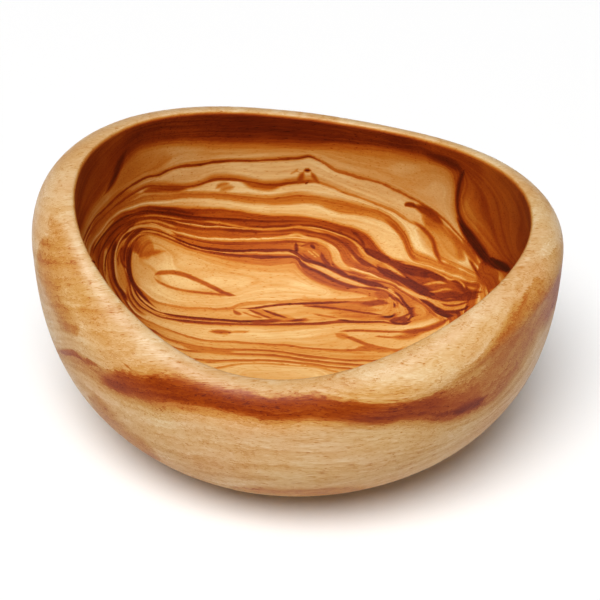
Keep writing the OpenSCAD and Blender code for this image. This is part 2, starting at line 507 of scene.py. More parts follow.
# The growth lines of the hollow, from the blond middle out to the rim. They run round the
# middle, so some are given as a back, a right and a front part.
HOLLOW_LINES = (
    GrowthLine(-2.2, 0.0, 0.0, ((178, 262), (215, 268), (255, 274), (290, 280), (325, 290))),
    GrowthLine(-1.6, 0.0, 0.0, ((148, 272), (150, 284), (170, 298), (210, 301), (240, 298))),
    GrowthLine(0.0, 0.35, 0.8, (
        (150, 235), (160, 238.6), (170, 243), (180, 247), (190, 250.7), (200, 253), (210, 255.7),
        (220, 258.6), (230, 260.7), (240, 262.8), (260, 264.3), (280, 265), (290, 264))),
    GrowthLine(0.0, 0.6, 0.9, (
        (296, 263), (300, 270), (306, 275.5), (314, 280.5), (322, 284), (332, 287.3), (345, 290.3),
        (358, 292.3), (370, 294.3), (379, 297))),
    GrowthLine(0.0, 0.5, 0.0, (
        (372, 298.3), (350, 299.5), (320, 300.5), (300, 300.7), (280, 301.5), (260, 302),
        (240, 304.7), (232, 307.5), (220, 308.4), (200, 308.5), (180, 307.5), (170, 306),
        (160, 303.5), (153, 300), (147, 295.5), (141, 290))),
    GrowthLine(0.0, 0.7, 0.7, (
        (137, 287), (133, 281), (131, 274), (130, 266), (130, 257), (132, 248), (137, 240))),
    GrowthLine(1.9, 0.9, 0.8, (
        (150, 233), (160, 235.7), (170, 239.5), (180, 244), (190, 248.4), (200, 250.8),
        (210, 252.5), (230, 255.5), (250, 256.8), (270, 257.2), (288, 256.8))),
    GrowthLine(1.9, 0.9, 0.6, (
        (300, 264), (306, 268.5), (315, 273), (325, 277), (335, 280.3), (345, 283.3), (358, 286.3),
        (370, 288.5), (380, 290.5), (388, 294), (393, 300))),
    GrowthLine(1.9, 0.95, 0.35, (
        (134.5, 290), (140, 299), (145, 303.5), (150, 307.5), (157, 311.5), (170, 315),
        (180, 316.8), (200, 318.6), (220, 320), (240, 321), (260, 321.3), (285, 320.5),
        (300, 320.5))),
    GrowthLine(1.9, 0.15, 0.3, ((312, 318.8), (330, 318), (350, 317.4), (370, 316.6))),
    GrowthLine(1.9, 0.9, 0.8, ((131, 284), (128.8, 275), (127, 266), (126.5, 256), (129, 246))),
    GrowthLine(3.25, 0.95, 0.75, (
        (140, 228.5), (150, 230.3), (160, 232.5), (170, 236), (180, 240.7), (190, 244.4),
        (200, 246.6), (210, 248.3), (220, 249.4), (230, 250.2), (250, 251), (270, 250.6),
        (286, 249.5))),
    GrowthLine(3.25, 0.95, 0.75, (
        (298, 254.5), (305, 259.5), (315, 264.5), (325, 269), (335, 272.8), (345, 276.3),
        (355, 279.7), (365, 282.8), (375, 285.2), (386, 288), (394, 292.5), (401, 299), (408, 307),
        (410.5, 314))),
    GrowthLine(3.25, 0.9, 0.3, (
        (131, 293), (137, 302), (143, 308), (150, 312), (158, 316), (170, 319), (180, 321),
        (200, 322.7), (220, 323.6), (250, 324.2), (280, 324.6), (300, 324), (320, 323),
        (340, 321.7), (365, 322.3), (385, 322), (402, 323.5), (410, 319))),
    GrowthLine(3.25, 0.8, 0.8, ((129, 286), (126.3, 276), (123, 265), (122, 254), (125, 243))),
    GrowthLine(5.1, 0.8, 0.85, (
        (140, 225.5), (150, 225.5), (160, 228), (170, 232), (180, 236), (190, 238.6), (200, 240.2),
        (220, 242.2), (230, 243), (250, 243.8), (270, 243.2), (285, 241))),
    GrowthLine(5.1, 0.75, 0.6, (
        (300, 240.6), (310, 242.6), (320, 246.3), (327, 252), (330, 259.5), (335, 265.5),
        (343, 269.3), (352, 272.3), (362, 275.6), (372, 278.5), (382, 281), (391, 283.8),
        (399, 289.3), (408, 294.8), (416, 299.3), (423, 303.2), (429, 308.5), (434, 314),
        (441, 318.5))),
    GrowthLine(5.1, 0.0, 0.0, (
        (441, 318.5), (430, 323), (415, 326), (395, 327), (370, 326.5), (340, 327), (300, 331),
        (260, 333), (230, 332), (200, 329.5), (180, 327), (165, 323), (150, 317))),
    GrowthLine(5.1, 0.6, 0.5, ((127, 290), (123, 279), (119.5, 268), (118.8, 256), (121, 244))),
    GrowthLine(7.0, 0.7, 0.9, (
        (140, 222), (150, 221), (160, 223.2), (170, 227), (180, 230), (190, 232.5), (200, 234),
        (215, 235.2), (230, 236), (250, 236.4), (270, 235.6), (285, 234.8))),
    GrowthLine(7.0, 0.75, 0.8, (
        (300, 234.6), (310, 236.3), (320, 238.7), (330, 242), (337, 246.5), (341, 252.5),
        (344.5, 259.5), (351, 264.5), (360, 268.5), (370, 272), (380, 275.5), (390, 279.7),
        (400, 285.7), (408, 290.8), (415, 295), (421, 299), (427.5, 304), (433.5, 310),
        (440, 314.3), (448, 317))),
    GrowthLine(7.0, 0.62, 0.1, (
        (152, 323), (158, 326.5), (165, 329), (173, 331.2), (180, 333.6), (190, 337), (200, 339.4),
        (210, 340.7), (230, 341.5), (250, 343), (270, 344.4), (290, 346), (300, 347.4), (312, 349),
        (330, 350.3), (350, 350.2), (375, 348.7), (398, 350))),
    GrowthLine(7.0, 0.9, 0.8, (
        (121.5, 293), (117, 286), (114.5, 277), (113.3, 266), (113.5, 255), (116.5, 244))),
    GrowthLine(8.25, 0.9, 0.9, (
        (140, 219.5), (150, 218.4), (160, 219.6), (170, 222.3), (180, 224.8), (190, 226.3),
        (200, 227.5), (215, 229), (230, 230.3), (250, 231.3), (270, 231), (285, 230))),
    GrowthLine(8.25, 0.95, 0.9, (
        (300, 230), (310, 231.5), (320, 233.5), (330, 236.2), (339, 240), (346, 244.8),
        (351, 250.3), (357, 256.5), (365, 262), (373, 266.4), (382, 270.5), (391, 275),
        (400, 280.6), (408, 285.7), (415, 290.3), (422, 295), (428.5, 300), (435, 305.7),
        (441, 309.7), (449, 312.8), (458, 313))),
    GrowthLine(8.25, 0.66, 0.35, (
        (162, 336.5), (170, 340), (180, 342.8), (190, 345.2), (200, 347), (215, 348.7), (230, 349),
        (250, 349.6), (270, 350.7), (290, 353), (310, 356), (330, 358.6), (350, 360),
        (370, 360.3))),
    GrowthLine(8.25, 0.8, 0.9, (
        (112, 283), (108.5, 272), (107.7, 261), (109.5, 250), (113.5, 239))),
    GrowthLine(9.4, 0.9, 0.95, (
        (140, 217), (150, 216.2), (160, 216.6), (170, 218), (180, 219.7), (190, 221), (200, 222.3),
        (215, 223.8), (230, 225.2), (250, 226.6), (270, 226.6), (285, 225.6))),
    GrowthLine(9.4, 0.85, 0.95, (
        (300, 224.4), (310, 225.2), (320, 227), (332, 230), (345, 234.5), (354, 239), (361, 244.5),
        (367, 250.5), (375, 256.5), (384, 262), (393, 267.3), (402, 273), (412, 279.3),
        (421, 284.8), (430, 289.5), (439, 293.5), (449, 295.5), (460, 295), (471, 292.8))),
    GrowthLine(9.4, 0.7, 0.25, (
        (172, 346.5), (180, 348.6), (190, 350.3), (200, 351.3), (215, 352.7), (230, 353.7),
        (250, 354.2), (270, 355), (290, 357), (310, 360), (330, 362.2), (352, 363.6))),
    GrowthLine(9.4, 0.8, 0.95, ((105, 278), (102.5, 268), (102.3, 258), (104.5, 247), (109, 236))),
    GrowthLine(10.9, 0.95, 0.95, (
        (125, 219), (132, 215.7), (140, 213.6), (150, 212.8), (160, 213.5), (170, 215),
        (180, 216.6), (190, 217.6), (200, 218.3), (215, 219), (230, 219.7), (250, 220.8),
        (270, 221.6), (285, 221.4))),
    GrowthLine(10.9, 0.8, 0.95, (
        (300, 221), (310, 222), (320, 223.8), (332, 226.6), (345, 230.3), (355, 234.3),
        (363, 239.5), (369, 245.5), (374.5, 251.5), (382, 257.5), (391, 263), (400, 268),
        (409, 273), (418, 278), (429, 281.3), (441, 283), (452, 284.5), (463, 287), (474, 288))),
    GrowthLine(10.9, 0.66, 0.0, (
        (197, 358.7), (205, 360), (220, 360.4), (250, 360), (270, 360.5), (290, 361.7), (310, 364),
        (330, 366.6), (350, 368))),
    GrowthLine(10.9, 0.85, 0.95, (
        (98, 268), (97.3, 258), (99, 247), (104, 236), (111, 228), (118, 222.5))),
    GrowthLine(12.1, 0.8, 0.9, (
        (91.5, 249), (94.3, 243), (98.6, 237), (102.9, 231.4), (107, 225.7), (111.4, 221.4),
        (115.7, 217.9), (120, 214.6), (124.3, 212.6), (130, 211), (135, 209.8), (140, 208.2),
        (150, 207.2), (160, 207.8), (170, 208.9), (180, 209.9), (190, 210), (200, 209.7),
        (215, 209.6), (230, 210.8), (240, 212), (250, 214.5), (265, 216.7), (280, 217.3),
        (300, 218.3))),
    GrowthLine(12.1, 0.7, 0.9, (
        (310, 219.2), (320, 221), (332, 223.8), (342, 226.4), (352, 229.3), (360, 232),
        (366, 235.3), (371, 240), (376, 246.3), (381, 252.3), (387, 257.3), (394, 260.8),
        (403, 262.6), (412, 264.6), (422, 266.8), (432, 269.3), (441, 273.2), (450, 277.7),
        (459, 279.8), (470, 282), (480, 283.5))),
    GrowthLine(14.5, 0.0, 0.0, ((248, 370.5), (282, 372), (316, 371.5))),
    GrowthLine(15.1, 0.3, 0.75, (
        (88.5, 246), (93.5, 237.5), (99, 230.5), (105, 223), (111, 217), (118, 211.3),
        (125, 207.8), (132, 206), (140, 203.5), (150, 201.3), (162, 199.7), (180, 198.3),
        (200, 198.2), (220, 199), (235, 201), (250, 203.5), (270, 204.5), (285, 204.3),
        (304, 203.5), (318, 205.3), (329, 209), (340, 212), (350, 213.6), (360, 215.3),
        (370, 217.3), (381, 220.6), (389, 225), (396, 230.3), (401.5, 236), (405.7, 243),
        (408, 251), (410.5, 257), (416, 260), (424, 262.2), (433, 265.2), (442, 269.6),
        (451, 273.3), (461, 276.7), (472, 279.7))),
    GrowthLine(16.8, 0.6, 0.8, (
        (87.5, 242.5), (92, 234.5), (97.5, 227.5), (103.5, 220.5), (109.5, 214.7), (116, 209.5),
        (123, 206.3), (131, 202.5), (140, 199), (150, 196.9), (162, 195.6), (180, 195), (200, 195),
        (220, 195.8), (235, 197), (250, 198), (270, 199.3), (285, 198.3), (300, 196.6),
        (318, 198.4), (330, 200), (341, 201.8), (351, 204.8), (361, 207.5), (371, 209.5),
        (381, 213), (390, 218.7), (396.5, 224.5), (402, 231), (406, 238), (409, 246), (413, 252.5),
        (420, 256.5), (430, 260), (440, 264.5), (450, 268.5), (461, 272.3), (472, 276))),
    GrowthLine(20.0, 0.8, 0.4, (
        (86.5, 239), (91, 230.8), (96.5, 223.5), (102.5, 217), (108.6, 212), (115, 207),
        (122, 201.5), (130, 195), (137, 190.5), (144, 187.8), (152, 186.3), (160, 186),
        (170, 186.6), (180, 187.2), (190, 186.4), (200, 184.3), (210, 180.8), (220, 179.3),
        (230, 179), (240, 179.8), (250, 182), (265, 184.3), (280, 185), (292, 183.5))),
    GrowthLine(20.0, 0.5, 0.6, (
        (317, 181), (326, 184.3), (336, 188.6), (347, 192.9), (356, 196.4), (366, 200),
        (376, 203.8), (385, 207.2), (393, 210.5), (401, 215), (408, 220), (415, 224.3), (422, 229),
        (427.5, 234.7), (431.5, 241.5), (434.5, 248.5), (439, 254.5), (446, 259.5), (454, 264),
        (463, 268.3), (473, 273))),
    GrowthLine(25.8, 0.85, 0.6, (
        (85.5, 234), (89.5, 226), (94.5, 219), (100.5, 211.8), (107, 205.5), (113.5, 200.3),
        (120, 194.5), (127, 188.7), (134, 184), (142, 179.8), (150, 177), (160, 173.9), (170, 170),
        (180, 167), (190, 165), (200, 163.6), (220, 161.7), (250, 160.3), (280, 159.2),
        (297, 158.3), (309.5, 155.8))),
    GrowthLine(25.8, 0.6, 0.6, (
        (320, 160), (328, 165.3), (338, 170.5), (350, 173.6), (360, 177), (370, 179.5),
        (381, 183.3), (391, 187.3), (401, 191.8), (410, 196.5), (419, 201.8), (427, 207.8),
        (435, 212.5), (443, 218.3), (450, 224.3), (457, 231.5), (463.5, 239), (469.5, 247.5),
        (475, 256.5), (480, 266), (483, 275))),
    GrowthLine(28.0, 0.0, 1.0, (
        (84, 228), (87.5, 220), (92, 212), (98, 204), (105, 196), (112, 188), (119, 179),
        (126, 170), (134, 161.5), (144, 154), (156, 150), (175, 148), (200, 147.5), (230, 147.5),
        (260, 148), (300, 149), (340, 152), (370, 157), (395, 161), (415, 163.5), (432, 166),
        (446, 171), (453, 183), (453.5, 197), (453.8, 210), (457, 221), (463, 231), (470, 240),
        (477, 249.5), (483, 258), (489, 267))),
    GrowthLine(29.5, 0.2, 0.8, (
        (82, 222), (85.5, 213), (90, 204.5), (96, 195.5), (103, 186.5), (110, 177.5))),
    GrowthLine(29.5, 0.2, 1.0, (
        (125, 156), (135, 147), (150, 141), (175, 138), (210, 137), (250, 137.5), (300, 139),
        (340, 141), (375, 144.5), (400, 149), (425, 155), (443, 162), (457, 170))),
    GrowthLine(29.5, 0.4, 0.74, (
        (457, 170), (458.5, 181), (457.5, 193), (457.5, 206), (460, 216.5), (466.5, 227),
        (474, 236.5), (481, 245.5), (487.5, 254), (495, 262))),
    GrowthLine(33.0, 0.3, 0.74, (
        (78.5, 205), (80.5, 192), (86, 177), (94, 163), (105, 150), (119, 139))),
    GrowthLine(33.0, 0.3, 1.0, (
        (137, 129.5), (155, 123.5), (180, 120), (215, 119), (250, 120), (290, 122.5), (330, 127),
        (370, 135.5), (405, 143.5))),
    GrowthLine(33.0, 0.3, 0.82, ((435, 150.5), (457, 158), (477, 169))),
    GrowthLine(31.5, 0.0, 0.7, (
        (470, 178), (480, 190), (487, 205), (492, 222), (497, 240), (505, 255))),
    GrowthLine(34.0, 0.0, 0.68, (
        (490, 172), (505, 186), (516, 202), (522, 219), (523, 235), (518, 250))))

# The same layers where the front of the rim hides them. They close round the front.
HIDDEN_LINES = (
    GrowthLine(8.25, 0.8, 0.6, ((163, 25), (166, 31), (168, 38)), View.MOUTH),
    GrowthLine(10.9, 0.8, 0.5, ((166, 19), (172, 28), (176, 40), (180, 50)), View.MOUTH),
    GrowthLine(12.1, 0.7, 0.3, ((166, 13), (174, 22), (181, 34), (190, 48)), View.MOUTH),
    GrowthLine(15.1, 0.4, 0.6, (
        (167, 11.5), (180, 22), (194, 36), (212, 52), (235, 67), (270, 78), (305, 68), (328, 52),
        (345, 40), (5, 29), (16, 25)), View.MOUTH),
    GrowthLine(16.8, 0.6, 0.7, (
        (168, 10), (182, 20), (198, 34), (216, 49), (240, 63), (270, 73), (300, 64), (322, 49),
        (341, 37), (2, 27.5), (15, 24.2)), View.MOUTH),
    GrowthLine(20.0, 0.7, 0.5, (
        (168, 8.5), (183, 17), (200, 30), (220, 44), (244, 56), (270, 64), (297, 55), (318, 43),
        (338, 32), (0, 25), (14, 23)), View.MOUTH),
    GrowthLine(25.8, 0.8, 0.6, (
        (169, 6), (185, 13), (204, 24), (226, 36), (248, 45), (270, 48), (292, 42), (313, 32),
        (334, 25.5), (356, 22), (12, 21)), View.MOUTH),
    GrowthLine(28.0, 0.0, 0.9, (
        (171, 3.5), (187, 8), (206, 15), (228, 22), (250, 27), (270, 28), (291, 25), (313, 20),
        (335, 18), (357, 17.5), (12, 18)), View.MOUTH),
    GrowthLine(29.5, 0.6, 0.9, (
        (172, 1), (190, 4.5), (210, 10), (232, 15.5), (252, 19), (270, 20), (291, 18), (314, 14.5),
        (336, 13.5), (357, 14), (10, 15)), View.MOUTH),
    GrowthLine(33.0, 0.2, 0.8, (
        (176, -6), (195, -3), (215, 2), (238, 6), (256, 8.5), (272, 9.5), (292, 7), (314, 2),
        (336, -1), (352, 2)), View.MOUTH))

# The numbers of the layers whose boundaries are drawn, in order. The last two are the soft
# start of the dark band below the rim, which is partly dark wood and partly painted shade, and its
# full depth.
BOUNDARIES = (0.0, 1.9, 3.25, 5.1, 7.0, 8.25, 9.4, 10.9, 12.1, 15.1, 16.8, 20.0, 25.8, 28.0, 29.5)

# The outside's growth lines: the upper and lower edge of its dark band, and layers beside it
OUTER_LINES = (
    GrowthLine(0.0, 0.3, 0.5, (
        (56, 348), (66, 349), (76, 352), (86, 357.5), (96, 364), (106, 368.5))),
    GrowthLine(0.0, 0.3, 1.0, (
        (116, 370), (128, 372.5), (140, 374.5), (155, 375.3), (170, 376.5), (190, 380.7),
        (210, 385), (230, 388.3), (250, 391.5), (270, 395.5), (290, 396.5), (310, 396.3),
        (330, 398.3), (350, 401.5), (370, 403), (390, 403), (405, 402), (420, 399), (435, 393))),
    GrowthLine(0.0, 0.3, 0.6, (
        (450, 386), (465, 377.5), (480, 368), (492, 357.5), (501, 346.5), (509, 333.5), (516, 321),
        (523, 308), (530, 295), (536, 281))),
    GrowthLine(1.0, 0.3, 0.2, ((62, 361), (74, 366), (86, 373), (98, 381))),
    GrowthLine(1.0, 0.3, 1.0, (
        (110, 388), (122, 393.5), (140, 398.5), (160, 402), (180, 402.7), (200, 406), (220, 410),
        (240, 413.5), (255, 417.5), (270, 420.3), (290, 420.3), (310, 419.3), (330, 420.3),
        (350, 422.3), (370, 423.3), (390, 421.8), (402, 419.5), (415, 419.5), (440, 420.5),
        (460, 417.5), (475, 412))),
    GrowthLine(1.0, 0.3, 0.5, (
        (488, 405.5), (498, 396), (508, 386), (517, 374), (525, 361), (532, 347), (538, 332))),
    GrowthLine(0.0, 0.3, 0.6, (
        (193, 27.5), (180, 28), (160, 28.5), (140, 29.5), (120, 31.5), (100, 34), (80, 36.5),
        (60, 39.5), (40, 43), (20, 46.5), (0, 49.5), (345, 51.5), (334, 52.5)), View.OUTSIDE),
    GrowthLine(1.0, 0.3, 0.6, (
        (196, 24), (180, 24), (160, 24.5), (140, 25.5), (120, 27), (100, 29), (80, 31), (60, 33.5),
        (40, 36), (20, 38.5), (0, 40.5), (345, 41.5), (334, 41.5)), View.OUTSIDE),
    GrowthLine(3.0, 0.0, 1.0, (
        (0, 24), (40, 21), (80, 17), (120, 14), (160, 12), (200, 12), (240, 16), (280, 20),
        (320, 24), (355, 24.5)), View.OUTSIDE))


@dataclass(frozen=True)
class Brush:
    """A mark of the figure that follows no layer, such as a knot or a fleck.

    half_width and blur, the width over which its border fades, are in millimetres, and tone
    runs from 0 to 1. The mark narrows over the taper, a share of its length, towards both ends
    of its path, whose points are pixels of the photograph.
    """

    half_width: float
    tone: float
    path: Pairs
    blur: float = 0.3
    taper: float = 0.2
    side: Side = Side.HOLLOW

    # The share of the blur that lies outside the mark's half width
    SPREAD = 0.6


# Broad soft marks: amber wood on the walls; outside, golden parts, parts darker towards the bottom,
# and a right side that is darker partly in its wood and partly as painted shade
WASHES = (
    Brush(3.5, 0.4, ((104, 206), (116, 194), (132, 178), (152, 164), (178, 155)), 4.0, 0.3),
    Brush(2.0, 0.56, ((87, 243), (95, 226), (106, 212), (120, 200), (138, 189)), 3.0, 0.3),
    Brush(2.2, 0.52, ((418, 213), (436, 228), (452, 245), (468, 264)), 2.6, 0.3),
    Brush(6.5, 0.64, ((480, 172), (494, 192), (503, 214), (507, 236), (505, 254)), 5.0, 0.3),
    Brush(1.4, 0.46, ((466, 196), (467, 210), (473, 224), (481, 236)), 1.8, 0.4),
    Brush(1.4, 0.6, ((480, 262), (488, 270), (494, 278)), 1.8, 0.4),
    Brush(1.2, 0.5, ((106, 215), (118, 205), (131, 197.5), (146, 192.5)), 1.4, 0.4),
    Brush(1.2, 0.55, ((89, 238), (97, 226.5), (106, 216), (117, 208), (130, 204.5)), 1.3, 0.4),
    Brush(2.0, 0.46, ((394, 326), (410, 318), (428, 312), (446, 309)), 3.0, 0.4),
    Brush(2.8, 0.22, ((380, 166), (408, 175), (432, 190), (446, 208)), 4.0, 0.4),
    Brush(2.5, 0.34, ((412, 226), (430, 238), (448, 252), (462, 266)), 3.0, 0.4),
    Brush(1.0, 0.66, ((136, 196), (150, 190), (165, 188.5), (182, 188), (196, 185.5)), 1.6, 0.35),
    Brush(0.9, 0.6, ((238, 181), (252, 184.5), (268, 186.8), (284, 187)), 1.4, 0.35),
    Brush(2.0, 0.3, ((140, 262), (150, 275), (165, 282)), 3.0, 0.4),
    # The outside's right side, turned from the light: partly darker wood, partly painted shade
    Brush(5.0, 0.47, (
        (474, 402), (492, 385), (508, 362), (524, 335), (537, 300)), 7.0, 0.2, Side.OUTSIDE),
    Brush(4.5, 0.4, ((40, 232), (49, 268), (62, 305), (80, 342)), 7.0, 0.2, Side.OUTSIDE),
    Brush(4.0, 0.27, ((66, 262), (84, 298), (108, 330), (140, 356)), 5.0, 0.2, Side.OUTSIDE),
    Brush(5.0, 0.4, ((84, 392), (104, 415), (130, 440), (165, 462)), 6.0, 0.2, Side.OUTSIDE),
    Brush(2.5, 0.42, (
        (170, 470), (215, 485), (270, 492), (330, 492), (390, 483), (440, 463)), 4.0, 0.25,
        Side.OUTSIDE))

# Broad dark marks: the two bundles of dark wood, the burl, the spindle and the flames
PATCHES = (
    Brush(0.8, 0.82, (
        (206, 216), (184, 213.5), (166, 211.5), (150, 210.5), (138, 213), (127, 218)), 1.4, 0.4),
    Brush(1.2, 0.76, ((134, 214), (123, 221), (114, 231), (107.5, 242), (103, 253)), 1.6, 0.3),
    Brush(0.8, 0.72, ((102, 243), (98.5, 253), (99, 262), (103, 271)), 1.4, 0.3),
    Brush(0.55, 0.86, (
        (117, 238), (113.5, 250), (112.5, 260), (113, 270), (115, 280), (119.5, 288), (125, 296),
        (129, 303)), 0.8, 0.15),
    Brush(0.55, 0.88, (
        (150, 233.5), (141, 236), (134, 243), (130, 252), (128.8, 262), (129.5, 272), (132, 281),
        (137, 289), (144, 297), (151, 304), (160, 310.5)), 0.8, 0.3),
    Brush(2.6, 0.54, ((133, 246), (141, 247), (149, 248.5), (156, 250)), 1.6, 0.4),
    Brush(1.2, 0.68, ((133, 238), (136, 246), (139, 256)), 2.2, 0.4),
    Brush(0.5, 0.6, ((134, 257.5), (146, 254.2), (158, 251.8), (171, 251)), 1.2, 0.5),
    Brush(0.3, 0.86, (
        (119, 268), (117.5, 256), (120, 245), (126, 236), (134, 229), (143, 224.5), (154, 222.5)),
        0.7, 0.25),
    Brush(0.3, 0.86, (
        (126, 270), (124, 258), (126, 247), (131, 238), (139, 231), (149, 228.5)), 0.7, 0.25),
    Brush(1.4, 0.83, (
        (384, 258.5), (398, 265.5), (410, 269.5), (423, 273.5), (436, 277.5), (450, 281.5)), 0.6,
        0.35),
    Brush(1.0, 0.66, ((405, 275), (415, 279.5), (427, 281.5), (440, 281.5)), 0.6, 0.4),
    Brush(0.95, 0.86, (
        (374, 268), (385, 272), (396, 276.5), (406, 281), (415, 286), (424, 291.5), (433, 296.5),
        (443, 299)), 0.5),
    Brush(0.8, 0.82, ((362, 246), (368, 251), (377, 255), (387, 259.5), (394, 262.5)), 0.6, 0.3),
    Brush(0.9, 0.74, ((430, 296.5), (441, 297), (452, 294.5), (463, 296)), 0.5, 0.3),
    Brush(0.6, 0.86, (
        (418, 298.5), (426, 301.5), (433, 306), (438, 311), (445, 315), (456, 316)), 0.5),
    Brush(0.4, 0.84, ((457, 295), (466, 295.3), (475, 292.6), (486, 292)), 0.9, 0.45),
    Brush(0.9, 0.88, ((418, 152), (434, 156), (447, 161), (459, 169), (460, 181)), 2.0, 0.4),
    Brush(0.6, 0.7, ((334, 235), (344, 239.3), (352, 245), (358, 252), (367, 260)), 0.8, 0.4),
    Brush(1.5, 0.66, ((479, 266), (485, 276), (488, 288)), 1.4, 0.4),
    Brush(0.8, 0.56, ((460, 237), (467, 247.5), (473.5, 258), (478, 268)), 1.6, 0.4),
    Brush(0.8, 0.78, ((448, 297.5), (459, 298), (470, 297), (482, 294)), 1.0, 0.4),
    Brush(0.7, 0.78, ((453, 284), (460, 286), (466, 290.5), (475, 292)), 0.8, 0.4),
    Brush(1.2, 0.7, ((409, 205), (418, 207.5), (428, 212.5), (437, 219), (446, 228)), 1.3, 0.4),
    Brush(2.6, 0.66, ((479, 262), (486, 271), (493, 280), (499, 286)), 1.6, 0.25),
    Brush(0.6, 0.74, ((404.5, 207.5), (405.5, 205), (410, 204.6), (418, 207)), 0.8, 0.35),
    Brush(0.45, 0.7, (
        (408, 218), (418, 224.5), (427, 232.5), (433, 241), (436, 252), (441, 262), (450, 268)),
        1.1, 0.3),
    Brush(0.5, 0.66, (
        (380, 216), (390, 223), (399, 231.5), (405, 241), (408.5, 250), (413, 257.5), (424, 263)),
        1.1, 0.3),
    Brush(0.9, 0.52, ((441, 262), (450, 268), (461, 273.5)), 1.8, 0.4),
    Brush(0.5, 0.6, ((440, 221), (453, 235), (465, 249), (475, 261), (483, 272)), 1.0, 0.35),
    Brush(0.35, 0.76, ((466, 256), (472, 264), (477, 272), (482, 282)), 0.9, 0.4),
    Brush(0.8, 0.68, (
        (392, 331.5), (408, 331.6), (422, 330), (435, 326), (446, 320.5), (455, 313)), 1.2, 0.35),
    Brush(0.8, 0.54, ((384, 337.5), (398, 337), (412, 336), (428, 332)), 1.6, 0.5),
    Brush(0.35, 0.56, ((336, 331.5), (352, 330.6), (372, 331), (392, 331.8), (408, 331.6)), 0.5),
    Brush(0.5, 0.52, (
        (338, 333.5), (346, 336.5), (356, 340), (364, 343.5), (376, 347), (390, 349.5),
        (400, 350)), 0.6, 0.25),
    Brush(0.9, 0.42, ((334, 333), (342, 336), (351, 338)), 1.0, 0.4),
    Brush(0.7, 0.5, ((352, 349.5), (366, 347.5), (380, 350), (396, 351)), 0.8, 0.3),
    Brush(0.75, 0.6, ((298, 304.5), (318, 304.3), (340, 304.3), (362, 303.5), (382, 303)), 0.6),
    Brush(0.9, 0.7, ((354, 305.5), (368, 304.3), (380, 302.5), (392, 304)), 0.8, 0.4),
    Brush(1.0, 0.6, ((373, 292.5), (382, 294.5), (390, 299)), 0.9, 0.4),
    Brush(1.3, 0.48, ((296, 304.5), (328, 305.5), (360, 308.5), (388, 312)), 1.4, 0.4),
    Brush(1.2, 0.46, ((322, 313), (346, 314), (368, 316.5), (390, 318)), 1.6, 0.4),
    Brush(1.1, 0.46, ((247, 309), (260, 312.5), (274, 316), (288, 318.5)), 1.0, 0.35),
    Brush(0.8, 0.78, ((388, 321), (397, 319.5), (404, 319.5), (412, 321.5)), 0.6, 0.35),
    Brush(1.1, 0.6, (
        (299, 265), (308, 272), (318, 277), (330, 282), (343, 286), (358, 288.5)), 0.9, 0.25),
    Brush(1.5, 0.54, ((302, 249), (311, 247), (319, 250), (326, 257), (332, 265)), 1.0, 0.25),
    Brush(0.8, 0.85, ((344, 274), (354, 279), (365, 282.5), (376, 284.5), (386, 286)), 0.6, 0.3),
    Brush(1.3, 0.55, ((342, 246), (346, 255), (350, 262), (357, 267.5)), 1.0, 0.35),
    Brush(0.6, 0.64, ((205, 331.2), (220, 331.8), (238, 332.6)), 1.0, 0.45),
    Brush(0.9, 0.5, ((176, 342), (190, 347), (205, 350), (220, 351.5), (238, 352)), 0.9, 0.3),
    Brush(0.5, 0.5, ((203, 360.5), (210, 361.4), (218, 361)), 0.6, 0.3),
    Brush(1.0, 0.44, ((260, 315), (274, 317), (288, 318), (299, 319)), 0.9, 0.4),
    Brush(0.5, 0.42, ((231, 306.8), (242, 304.5), (256, 303), (274, 302.5)), 0.7, 0.3),
    Brush(0.5, 0.6, ((232.5, 309), (236, 312.5), (243, 315)), 0.7, 0.4),
    Brush(0.6, 0.72, ((247, 322), (260, 321.8), (270, 321), (284, 319.5)), 0.6, 0.35),
    Brush(0.45, 0.5, ((214, 190), (220, 185.5), (232, 183)), 1.4, 0.4),
    Brush(0.5, 0.46, ((217, 192), (226, 188.5), (237, 186.5)), 1.6, 0.4),
    Brush(0.6, 0.64, ((305, 170), (302, 175), (300, 180), (297, 185)), 1.2, 0.4),
    Brush(0.45, 0.62, ((310, 170), (313, 175), (316, 180), (321, 185)), 1.1, 0.4),
    Brush(0.9, 0.9, (
        (130, 144), (123.5, 155), (119, 165), (115, 176), (109, 188), (101, 199)), 2.0, 0.4),
    Brush(1.6, 0.36, (
        (44, 196), (52, 222), (62, 248), (72, 272), (82, 298), (94, 322), (108, 343), (124, 360)),
        5.0, 0.3, Side.OUTSIDE),
    Brush(0.9, 0.84, (
        (440, 416), (458, 411), (474, 404), (486, 396), (495, 387)), 2.6, 0.4, Side.OUTSIDE),
    Brush(0.7, 0.6, (
        (54, 350.5), (63, 352), (72, 353), (82, 358), (92, 364), (102, 370)), 1.0, 0.2,
        Side.OUTSIDE),
    Brush(1.0, 0.5, (
        (442, 391), (460, 380), (478, 367), (494, 350), (508, 329), (520, 308), (534, 285)), 3.0,
        0.2, Side.OUTSIDE))

